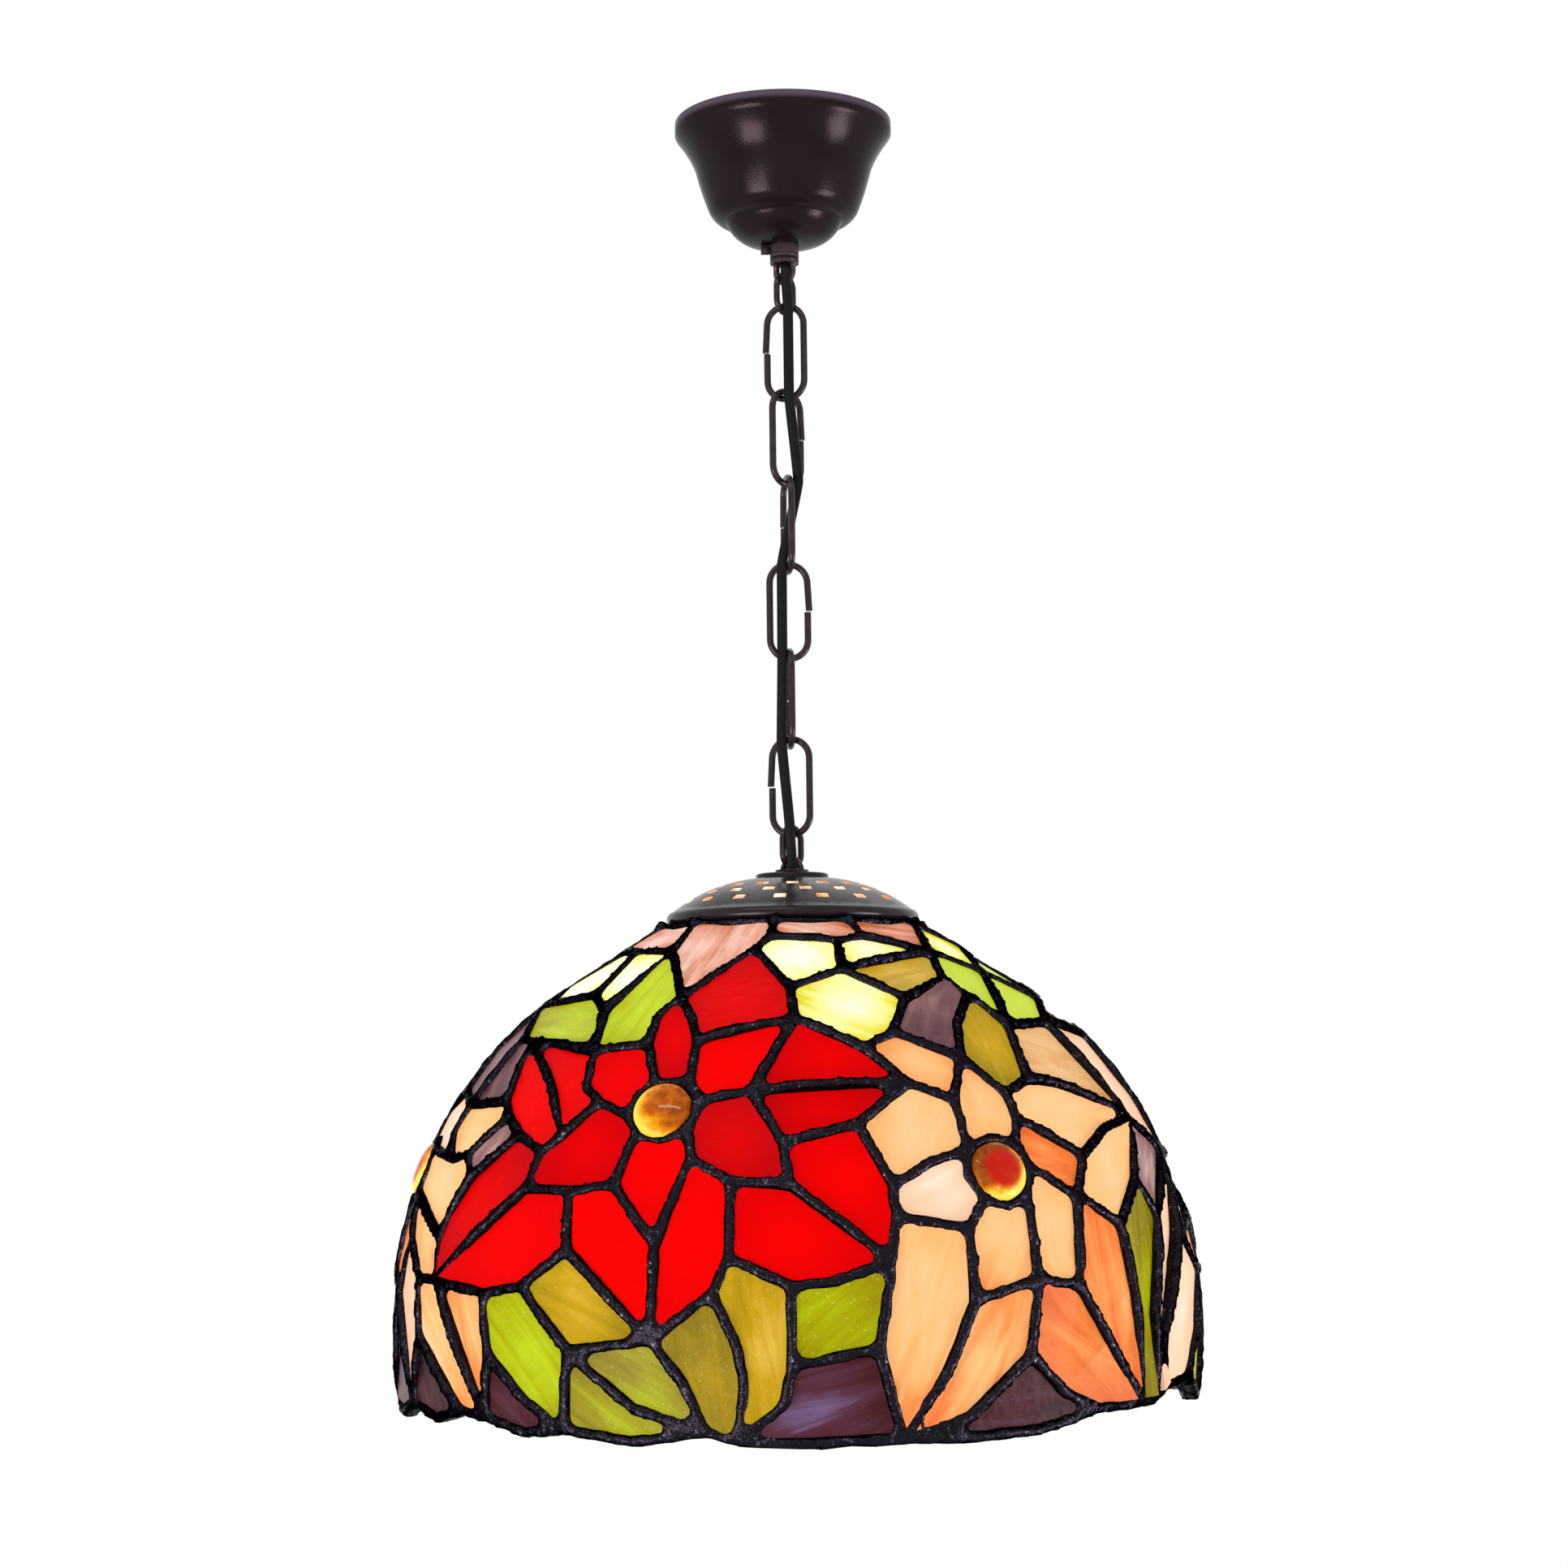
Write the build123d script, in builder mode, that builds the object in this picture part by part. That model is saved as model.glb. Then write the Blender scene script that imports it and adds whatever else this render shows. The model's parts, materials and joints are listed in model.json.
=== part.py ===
"""Leaded glass pendant lamp: ceiling canopy, chain, vent cap, lamp holder and a shade of flat panes in lead came.

All dimensions are in mm. Z points up, and z = 0 is the ceiling plane that the strap bracket is screwed to.
The lamp hangs down from it on the Z axis. -Y is the front.
"""
import os
from math import cos, radians, sin, sqrt

from build123d import *

os.makedirs("parts", exist_ok=True)


def save(builder, node):
    """Label a finished piece and write its STEP file."""
    builder.part.label = node
    export_step(builder.part, f"parts/{node}.step")


# ---------------------------------------------------------------- fits
SLIP = 0.05              # radial clearance of a thread or a shank in its hole
REST = 0.15              # gap between two chain wires that hang on each other
SEAT = 0.05              # gap under a piece that rests on a curved edge

# ---------------------------------------------------------------- ceiling bracket
STRAP_T = 1.5
STRAP_W = 16.0
STRAP_LENGTH = 66.0
STRAP_DROP = 10.5        # the middle of the strap hangs this far below the ceiling
STRAP_MIDDLE = 36.0      # length of the dropped middle
SLOT_PITCH = 50.0
SLOT_W = 4.5
SLOT_LENGTH = 10.0
NIPPLE_R = 4.0           # M8 x 1 tube
NIPPLE_BORE_R = 2.8
NIPPLE_TOP = -8.5
NUT_AF = 12.0
NUT_T = 3.0

strap_foot = -STRAP_DROP - STRAP_T
with BuildPart() as bracket_bar:
    with BuildSketch(Plane.XZ):
        half, end, leg = STRAP_MIDDLE / 2, STRAP_LENGTH / 2, STRAP_T
        Polygon(
            (-end, 0), (-end, -STRAP_T), (-half - leg, -STRAP_T), (-half - leg, strap_foot),
            (half + leg, strap_foot), (half + leg, -STRAP_T), (end, -STRAP_T), (end, 0),
            (half, 0), (half, -STRAP_DROP), (-half, -STRAP_DROP), (-half, 0), align=None,
        )
    extrude(amount=STRAP_W / 2, both=True)
    with BuildSketch(Plane.XY.offset(-STRAP_T / 2)):
        with Locations((-SLOT_PITCH / 2, 0), (SLOT_PITCH / 2, 0)):
            SlotOverall(SLOT_LENGTH, SLOT_W)
    extrude(amount=STRAP_T, both=True, mode=Mode.SUBTRACT)
    with Locations((0, 0, strap_foot + STRAP_T / 2)):
        Cylinder(NIPPLE_R + SLIP, 3 * STRAP_T, mode=Mode.SUBTRACT)
    with Locations((12, 0, strap_foot + STRAP_T / 2)):
        Cylinder(2 + SLIP, 3 * STRAP_T, mode=Mode.SUBTRACT)
save(bracket_bar, "bracket_bar")

with BuildPart() as ground_screw:
    with Locations((12, 0, -STRAP_DROP)):
        Cylinder(2, 6, align=(Align.CENTER, Align.CENTER, Align.MAX))
        Cylinder(3.6, 2.4, align=(Align.CENTER, Align.CENTER, Align.MIN))
    with Locations((12, 0, -STRAP_DROP + 2.4)):
        Box(8, 0.9, 1.6, mode=Mode.SUBTRACT)
save(ground_screw, "ground_screw")

# Two-pole block on the dropped middle of the strap. The cord's end sits in the mouth on its +X side.
BLOCK = (9.0, 15.0, 8.0)
BLOCK_X = -11.5
CORD_R = 1.3
CORD_TOP = -4.6
with BuildPart() as terminal_block:
    with Locations((BLOCK_X, 0, -STRAP_DROP)):
        Box(*BLOCK, align=(Align.CENTER, Align.CENTER, Align.MIN))
    block_top = -STRAP_DROP + BLOCK[2]
    with Locations((BLOCK_X, -4, block_top), (BLOCK_X, 4, block_top)):
        Cylinder(2.0, 4, mode=Mode.SUBTRACT)
    with Locations((BLOCK_X + BLOCK[0] / 2, 0, CORD_TOP)):
        Cylinder(CORD_R + 0.2, 4, rotation=(0, 90, 0), mode=Mode.SUBTRACT)
save(terminal_block, "terminal_block")

with BuildPart() as terminal_screws:
    with Locations((BLOCK_X, -4, block_top - 2), (BLOCK_X, 4, block_top - 2)):
        Cylinder(2.0 - SLIP, 1.8, align=(Align.CENTER, Align.CENTER, Align.MIN))
    with Locations((BLOCK_X, -4, block_top), (BLOCK_X, 4, block_top)):
        Box(3.2, 0.7, 1.4, mode=Mode.SUBTRACT)
save(terminal_screws, "terminal_screws")

# ---------------------------------------------------------------- canopy
SHEET = 1.2
CANOPY_R = 41.4
CANOPY_FOOT = -47.5
COLLAR_R = 5.5
COLLAR_FOOT = -51.3
NIPPLE_FOOT = -53.4
SET_SCREW_Z = -49.3

with BuildPart() as canopy_nipple:
    with BuildSketch(Plane.XY.offset(NIPPLE_FOOT)):
        Circle(NIPPLE_R)
        Circle(NIPPLE_BORE_R, mode=Mode.SUBTRACT)
    extrude(amount=NIPPLE_TOP - NIPPLE_FOOT)
save(canopy_nipple, "canopy_nipple")

with BuildPart() as nipple_nuts:
    for foot in (-STRAP_DROP, strap_foot - NUT_T):
        height = min(NUT_T, NIPPLE_TOP - foot)
        with BuildSketch(Plane.XY.offset(foot)):
            RegularPolygon(NUT_AF / 2, 6, major_radius=False)
            Circle(NIPPLE_R + SLIP, mode=Mode.SUBTRACT)
        extrude(amount=height)
save(nipple_nuts, "nipple_nuts")

# Spun cup: straight rim bead, hollow-sided bell, a step, then the lower bowl that sits on the collar.
with BuildPart() as canopy_cup:
    with BuildSketch(Plane.XZ):
        with BuildLine():
            Line((CANOPY_R, 0), (CANOPY_R, -4.5))
            Line((CANOPY_R, -4.5), (40.2, -6.2))
            ThreePointArc((40.2, -6.2), (36.4, -12.0), (33.7, -18.0))
            ThreePointArc((33.7, -18.0), (31.6, -25.5), (28.9, -33.2))
            ThreePointArc((28.9, -33.2), (27.0, -36.2), (23.5, -38.4))
            Line((23.5, -38.4), (22.2, -38.4))
            ThreePointArc((22.2, -38.4), (19.2, -43.0), (13.6, -46.4))
            Line((13.6, -46.4), (9.0, CANOPY_FOOT))
            Line((9.0, CANOPY_FOOT), (NIPPLE_R + SLIP, CANOPY_FOOT))
            Line((NIPPLE_R + SLIP, CANOPY_FOOT), (NIPPLE_R + SLIP, CANOPY_FOOT + SHEET))
            Line((NIPPLE_R + SLIP, CANOPY_FOOT + SHEET), (9.2, CANOPY_FOOT + SHEET))
            Line((9.2, CANOPY_FOOT + SHEET), (13.2, -45.2))
            ThreePointArc((13.2, -45.2), (18.2, -42.1), (21.2, -37.2))
            Line((21.2, -37.2), (22.8, -37.2))
            ThreePointArc((22.8, -37.2), (26.0, -35.3), (27.8, -32.7))
            ThreePointArc((27.8, -32.7), (30.4, -25.2), (32.5, -17.6))
            ThreePointArc((32.5, -17.6), (35.3, -11.3), (39.2, -5.5))
            Line((39.2, -5.5), (CANOPY_R - SHEET, -4.1))
            Line((CANOPY_R - SHEET, -4.1), (CANOPY_R - SHEET, 0))
            Line((CANOPY_R - SHEET, 0), (CANOPY_R, 0))
        make_face()
    revolve(axis=Axis.Z)
save(canopy_cup, "canopy_cup")

with BuildPart() as canopy_collar:
    with BuildSketch(Plane.XY.offset(COLLAR_FOOT)):
        Circle(COLLAR_R)
        Circle(NIPPLE_R + SLIP, mode=Mode.SUBTRACT)
    extrude(amount=CANOPY_FOOT - COLLAR_FOOT)
    with Locations((-COLLAR_R, 0, SET_SCREW_Z)):
        Cylinder(1.1 + SLIP, 6, rotation=(0, 90, 0), mode=Mode.SUBTRACT)
save(canopy_collar, "canopy_collar")

with BuildPart() as set_screw:
    with BuildSketch(Plane(origin=(-NIPPLE_R - SLIP, 0, SET_SCREW_Z), z_dir=(-1, 0, 0))):
        Circle(1.1)
    extrude(amount=COLLAR_R - NIPPLE_R)
    with BuildSketch(Plane(origin=(-COLLAR_R - SLIP, 0, SET_SCREW_Z), z_dir=(-1, 0, 0))):
        RegularPolygon(1.75, 10)
    extrude(amount=3.4)
save(set_screw, "set_screw")

# ---------------------------------------------------------------- chain
# Every wire piece stands in a vertical plane, turned about Z by its own angle from +X. Neighbours are turned
# at least 55 degrees apart, so the two bows cross with REST between them.
RING_WIRE_R = 1.2
RING_BEND_R = 4.8
LINK_WIRE_R = 1.3
LINK_BEND_R = 7.2
RING_LENGTH = 17.0
LINK_LENGTH = 38.6
LINK_CUT = 0.5           # the open joint in the side of each main link
LOOP_ARM_R = 4.0
LOOP_FLOOR = -54.8
LOOP_ANGLE = -40.0
LOOP_BAR_Z = -61.8       # centre of the wire that the top ring hangs on


def wire_plane(angle):
    """The vertical plane of a link: its X runs along the angle, its Y runs up."""
    return Plane(origin=(0, 0, 0), x_dir=(cos(radians(angle)), sin(radians(angle)), 0),
                 z_dir=(sin(radians(angle)), -cos(radians(angle)), 0))


def link(top, length, bend, wire, angle, cut_side=0):
    """A closed wire link whose topmost wire centre is at height `top`; cut_side opens the joint in one arm."""
    high, low = top - bend, top - (length - 2 * wire) + bend
    plane = wire_plane(angle)
    with BuildPart(mode=Mode.PRIVATE) as piece:
        with BuildLine(plane):
            Line((bend, high), (bend, low))
            ThreePointArc((bend, low), (0, low - bend), (-bend, low))
            Line((-bend, low), (-bend, high))
            ThreePointArc((-bend, high), (0, top), (bend, high))
        with BuildSketch(Plane(origin=plane.from_local_coords((bend, high, 0)), z_dir=(0, 0, -1))):
            Circle(wire)
        sweep()
        if cut_side:
            middle = plane.from_local_coords((cut_side * bend, (high + low) / 2, 0))
            with Locations(Location(middle, (0, 0, angle)) * Location((0, 0, 0), (0, 25, 0))):
                Box(4 * wire, 4 * wire, LINK_CUT, mode=Mode.SUBTRACT)
    return piece


with BuildPart() as hang_loop:
    with BuildSketch(Plane.XY.offset(LOOP_FLOOR)):
        Circle(COLLAR_R)
        Circle(NIPPLE_BORE_R + 0.6, mode=Mode.SUBTRACT)
    extrude(amount=COLLAR_FOOT - 0.2 - LOOP_FLOOR)
    with BuildSketch(Plane.XY.offset(NIPPLE_FOOT)):
        Circle(NIPPLE_R + SLIP)
    extrude(amount=NIPPLE_FOOT - LOOP_FLOOR + 2, mode=Mode.SUBTRACT)
    with BuildSketch(Plane.XY.offset(-53.0)):
        Circle(COLLAR_R + 1)
        Circle(COLLAR_R - 0.5, mode=Mode.SUBTRACT)
    extrude(amount=0.5, mode=Mode.SUBTRACT)
    with BuildLine(wire_plane(LOOP_ANGLE)):
        Line((LOOP_ARM_R, LOOP_FLOOR + 0.5), (LOOP_ARM_R, LOOP_BAR_Z + LOOP_ARM_R))
        ThreePointArc((LOOP_ARM_R, LOOP_BAR_Z + LOOP_ARM_R), (0, LOOP_BAR_Z), (-LOOP_ARM_R, LOOP_BAR_Z + LOOP_ARM_R))
        Line((-LOOP_ARM_R, LOOP_BAR_Z + LOOP_ARM_R), (-LOOP_ARM_R, LOOP_FLOOR + 0.5))
    with BuildSketch(Plane(origin=wire_plane(LOOP_ANGLE).from_local_coords((LOOP_ARM_R, LOOP_FLOOR + 0.5, 0)),
                           z_dir=(0, 0, -1))):
        Circle(RING_WIRE_R)
    sweep()
save(hang_loop, "hang_loop")

# node, plane angle, length, bend radius, wire radius, side of the open joint
CHAIN = [
    ("top_ring", 50, RING_LENGTH, RING_BEND_R, RING_WIRE_R, 0),
    ("chain_link_a", -15, LINK_LENGTH, LINK_BEND_R, LINK_WIRE_R, -1),
    ("chain_link_b", 43, LINK_LENGTH, LINK_BEND_R, LINK_WIRE_R, 1),
    ("chain_link_c", 102, LINK_LENGTH, LINK_BEND_R, LINK_WIRE_R, 1),
    ("chain_link_d", 8, LINK_LENGTH, LINK_BEND_R, LINK_WIRE_R, 1),
    ("chain_link_e", 96, LINK_LENGTH, LINK_BEND_R, LINK_WIRE_R, 1),
    ("chain_link_f", -15, LINK_LENGTH, LINK_BEND_R, LINK_WIRE_R, -1),
    ("bottom_ring", 45, RING_LENGTH, RING_BEND_R, RING_WIRE_R, 0),
]
bar_z, bar_wire = LOOP_BAR_Z, RING_WIRE_R
hinges = []
for node, angle, length, bend, wire, cut_side in CHAIN:
    hinges.append((node, bar_z))
    top = bar_z + bar_wire + wire + REST
    save(link(top, length, bend, wire, angle, cut_side), node)
    bar_z, bar_wire = top - length + 2 * wire, wire

# ---------------------------------------------------------------- top of the shade
CAP_LOOP_ANGLE = -45.0
LOOP_STEM_R = 5.0        # M10 x 1 stem, hollow for the cord
LOOP_STEM_BORE_R = 3.8
BASE_R = 6.2
DISC_TOP = -288.2
DISC_R = 13.6
CAP_TOP = -290.0
CAP_RIM_R = 47.0
CAP_RIM_FOOT = -307.5
BEAD_R = 2.6
STEM_FOOT = -309.0
ARCH_BEND_R = 4.8
arch_top = bar_z + RING_WIRE_R + bar_wire + REST
hinges.append(("cap_loop", bar_z))
base_top = bar_z - bar_wire - REST
with BuildPart() as cap_loop:
    with BuildSketch(Plane.XY.offset(DISC_TOP)):
        Circle(BASE_R)
    extrude(amount=base_top - DISC_TOP)
    with BuildSketch(Plane.XY.offset(STEM_FOOT)):
        Circle(LOOP_STEM_R)
    extrude(amount=DISC_TOP - STEM_FOOT)
    with BuildSketch(Plane.XZ):
        Polygon((0, base_top), (5.1, base_top), (LOOP_STEM_BORE_R, CAP_TOP), (LOOP_STEM_BORE_R, STEM_FOOT),
                (0, STEM_FOOT), align=None)
    revolve(axis=Axis.Z, mode=Mode.SUBTRACT)
    shoulder = arch_top - ARCH_BEND_R
    with BuildLine(wire_plane(CAP_LOOP_ANGLE)):
        Line((ARCH_BEND_R, DISC_TOP + 0.2), (ARCH_BEND_R, shoulder))
        ThreePointArc((ARCH_BEND_R, shoulder), (0, arch_top), (-ARCH_BEND_R, shoulder))
        Line((-ARCH_BEND_R, shoulder), (-ARCH_BEND_R, DISC_TOP + 0.2))
    with BuildSketch(Plane(origin=wire_plane(CAP_LOOP_ANGLE).from_local_coords((ARCH_BEND_R, DISC_TOP + 0.2, 0)),
                           z_dir=(0, 0, 1))):
        Circle(RING_WIRE_R)
    sweep()
save(cap_loop, "cap_loop")

with BuildPart() as disc_washer:
    with BuildSketch(Plane.XY.offset(CAP_TOP)):
        Circle(DISC_R)
        Circle(LOOP_STEM_R + SLIP, mode=Mode.SUBTRACT)
    extrude(amount=DISC_TOP - CAP_TOP)
    fillet(disc_washer.edges().group_by(Axis.Z)[-1].sort_by(SortBy.RADIUS)[-1], 0.8)
save(disc_washer, "disc_washer")

# Vent cap: a shallow spun dome with a rolled bead at its rim and three staggered rows of slots.
SLOT_ROWS = ((28.5, 16, 0.0), (34.0, 16, 0.35), (39.5, 16, 0.7))      # radius, slots in the row, stagger
VENT_W = 2.4
VENT_L = 4.4
bead_centre = (CAP_RIM_R - BEAD_R, CAP_RIM_FOOT + BEAD_R)
with BuildPart() as vent_cap:
    with BuildSketch(Plane.XZ):
        with BuildLine():
            Line((LOOP_STEM_R + SLIP, CAP_TOP), (DISC_R, CAP_TOP))
            ThreePointArc((DISC_R, CAP_TOP), (32.0, -294.6), (45.6, -303.0))
            Line((45.6, -303.0), (44.8, -304.0))
            ThreePointArc((44.8, -304.0), (31.4, -295.7), (DISC_R, CAP_TOP - SHEET))
            Line((DISC_R, CAP_TOP - SHEET), (LOOP_STEM_R + SLIP, CAP_TOP - SHEET))
            Line((LOOP_STEM_R + SLIP, CAP_TOP - SHEET), (LOOP_STEM_R + SLIP, CAP_TOP))
        make_face()
        with Locations(bead_centre):
            Circle(BEAD_R)
    revolve(axis=Axis.Z)
    with BuildSketch(Plane.XY.offset(CAP_TOP - 20)):
        for row_r, count, stagger in SLOT_ROWS:
            with PolarLocations(row_r, count, start_angle=stagger * 360 / count):
                Rectangle(VENT_W, VENT_L)
    extrude(amount=20, mode=Mode.SUBTRACT)
save(vent_cap, "vent_cap")

WASHER_T = 1.5
washer_foot = CAP_TOP - SHEET - WASHER_T
with BuildPart() as seat_washer:
    with BuildSketch(Plane.XY.offset(washer_foot)):
        Circle(12)
        Circle(LOOP_STEM_R + SLIP, mode=Mode.SUBTRACT)
    extrude(amount=WASHER_T)
save(seat_washer, "seat_washer")

with BuildPart() as stem_nut:
    with BuildSketch(Plane.XY.offset(washer_foot - 4)):
        RegularPolygon(7.0, 6, major_radius=False)
        Circle(LOOP_STEM_R + SLIP, mode=Mode.SUBTRACT)
    extrude(amount=4)
save(stem_nut, "stem_nut")

# ---------------------------------------------------------------- lamp holder, E27
HOLDER_TOP = -301.0
HOLDER_SPLIT = -318.0    # where the cap ends and the shell begins
HOLDER_FOOT = -346.0
HOLDER_R = 19.5
SHELL_BORE_R = 14.0
CORE_TOP = -316.0
CORE_FOOT = -320.0
BULB_TIP = -322.6
with BuildPart() as holder_cap:
    with BuildSketch(Plane.XZ):
        with BuildLine():
            Polyline((LOOP_STEM_R + SLIP, HOLDER_TOP), (12.0, HOLDER_TOP), (HOLDER_R, HOLDER_TOP - 6),
                     (HOLDER_R, HOLDER_SPLIT), (HOLDER_R - 2, HOLDER_SPLIT), (HOLDER_R - 2, HOLDER_TOP - 7),
                     (11.5, HOLDER_TOP - 3), (8.0, HOLDER_TOP - 3), (8.0, STEM_FOOT + 0.5),
                     (LOOP_STEM_R + SLIP, STEM_FOOT + 0.5), close=True)
        make_face()
    revolve(axis=Axis.Z)
save(holder_cap, "holder_cap")

with BuildPart() as holder_core:
    with BuildSketch(Plane.XY.offset(CORE_FOOT)):
        Circle(HOLDER_R - 2 - SLIP)
        with Locations((0, -7)):
            Circle(CORD_R + 0.3, mode=Mode.SUBTRACT)
    extrude(amount=CORE_TOP - CORE_FOOT)
save(holder_core, "holder_core")

with BuildPart() as holder_contacts:
    with BuildSketch(Plane.XY.offset(BULB_TIP + SEAT)):
        Circle(3.0)
    extrude(amount=CORE_FOOT - BULB_TIP - SEAT)
save(holder_contacts, "holder_contacts")

with BuildPart() as holder_shell:
    with BuildSketch(Plane.XY.offset(HOLDER_FOOT)):
        Circle(HOLDER_R)
        Circle(SHELL_BORE_R, mode=Mode.SUBTRACT)
    extrude(amount=CORE_FOOT - HOLDER_FOOT)
    with BuildSketch(Plane.XY.offset(CORE_FOOT)):
        Circle(HOLDER_R)
        Circle(HOLDER_R - 2, mode=Mode.SUBTRACT)
    extrude(amount=HOLDER_SPLIT - CORE_FOOT)
save(holder_shell, "holder_shell")

with BuildPart() as skirt_ring:
    with BuildSketch(Plane.XY.offset(-338.0)):
        Circle(HOLDER_R + 3)
        Circle(HOLDER_R + SLIP, mode=Mode.SUBTRACT)
        with PolarLocations(HOLDER_R + 3, 24):
            Circle(0.7, mode=Mode.SUBTRACT)
    extrude(amount=5)
save(skirt_ring, "skirt_ring")

# ---------------------------------------------------------------- bulb, A60 on an E27 cap
BULB_R = 30.0
BULB_CENTRE = -402.0
BULB_NECK_R = 12.5
CAP_FOOT = -348.0
THREAD_R = 13.2
THREAD_PITCH = 3.6
with BuildPart() as bulb_cap:
    with BuildSketch(Plane.XZ):
        with BuildLine():
            Polyline((0, BULB_TIP), (4.5, BULB_TIP), (5.5, BULB_TIP - 1.2), (9.5, BULB_TIP - 3.0),
                     (11.8, BULB_TIP - 4.0))
            previous = (11.8, BULB_TIP - 4.0)
            for turn in range(4):
                level = BULB_TIP - 4.0 - turn * THREAD_PITCH
                crest, root = (THREAD_R, level - THREAD_PITCH / 2), (11.8, level - THREAD_PITCH)
                Line(previous, crest)
                Line(crest, root)
                previous = root
            Polyline(previous, (THREAD_R - 0.4, previous[1] - 1.5), (THREAD_R - 0.4, CAP_FOOT), (0, CAP_FOOT),
                     (0, BULB_TIP))
        make_face()
    revolve(axis=Axis.Z)
save(bulb_cap, "bulb_cap")

GLASS_T = 1.0
with BuildPart() as bulb_glass:
    for wall, mode in ((0, Mode.ADD), (GLASS_T, Mode.SUBTRACT)):
        shoulder = ((BULB_R - wall) * cos(radians(20)), BULB_CENTRE + (BULB_R - wall) * sin(radians(20)))
        with BuildSketch(Plane.XZ):
            with BuildLine():
                Polyline((0, CAP_FOOT), (BULB_NECK_R - wall, CAP_FOOT), (BULB_NECK_R - wall, CAP_FOOT - 4))
                ThreePointArc((BULB_NECK_R - wall, CAP_FOOT - 4), (17.8 - wall, -369), shoulder)
                ThreePointArc(shoulder, (BULB_R - wall, BULB_CENTRE),
                              ((BULB_R - wall) * cos(radians(-60)), BULB_CENTRE + (BULB_R - wall) * sin(radians(-60))))
                ThreePointArc(((BULB_R - wall) * cos(radians(-60)), BULB_CENTRE + (BULB_R - wall) * sin(radians(-60))),
                              ((BULB_R - wall) * cos(radians(-80)), BULB_CENTRE + (BULB_R - wall) * sin(radians(-80))),
                              (0, BULB_CENTRE - BULB_R + wall))
                Line((0, BULB_CENTRE - BULB_R + wall), (0, CAP_FOOT))
            make_face()
        revolve(axis=Axis.Z, mode=mode)
save(bulb_glass, "bulb_glass")

STEM_TIP = -376.0
with BuildPart() as bulb_filament:
    with BuildSketch(Plane.XZ):
        Polygon((0, CAP_FOOT), (4.5, CAP_FOOT), (2.2, STEM_TIP + 2), (7.9, STEM_TIP + 2), (7.9, STEM_TIP), (0, STEM_TIP),
                align=None)
    revolve(axis=Axis.Z)
    with BuildSketch(Plane.XY.offset(STEM_TIP + 1)):
        with PolarLocations(6.6, 4):
            Circle(0.9)
    extrude(amount=-33)
save(bulb_filament, "bulb_filament")

# ---------------------------------------------------------------- shade: the mould and the pattern on it
# The panes are laid on a mould: a sphere cap with a cone crown. Heights in the pattern are above the shade's
# bottom plane, and azimuths are in degrees from the front (-Y) towards +X.
SHADE_FOOT = -481.0
MOULD_R = 146.4
MOULD_CENTRE = 30.0      # height of the sphere's centre
CROWN_FOOT = 143.0
CROWN_TOP = 172.5
CROWN_TOP_R = 47.0
LEAD_OUT = 1.9           # lead stands this far out of the mould
LEAD_IN = 3.5
SEAM = 4.0               # width of a lead came between two panes
PANE_T = 3.0
HEART_R = 9.9            # hole of a cabochon
KNOB_R = 2.2             # solder knob at the edge of the vent cap

crown_foot_r = sqrt(MOULD_R**2 - (CROWN_FOOT - MOULD_CENTRE) ** 2)

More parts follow.
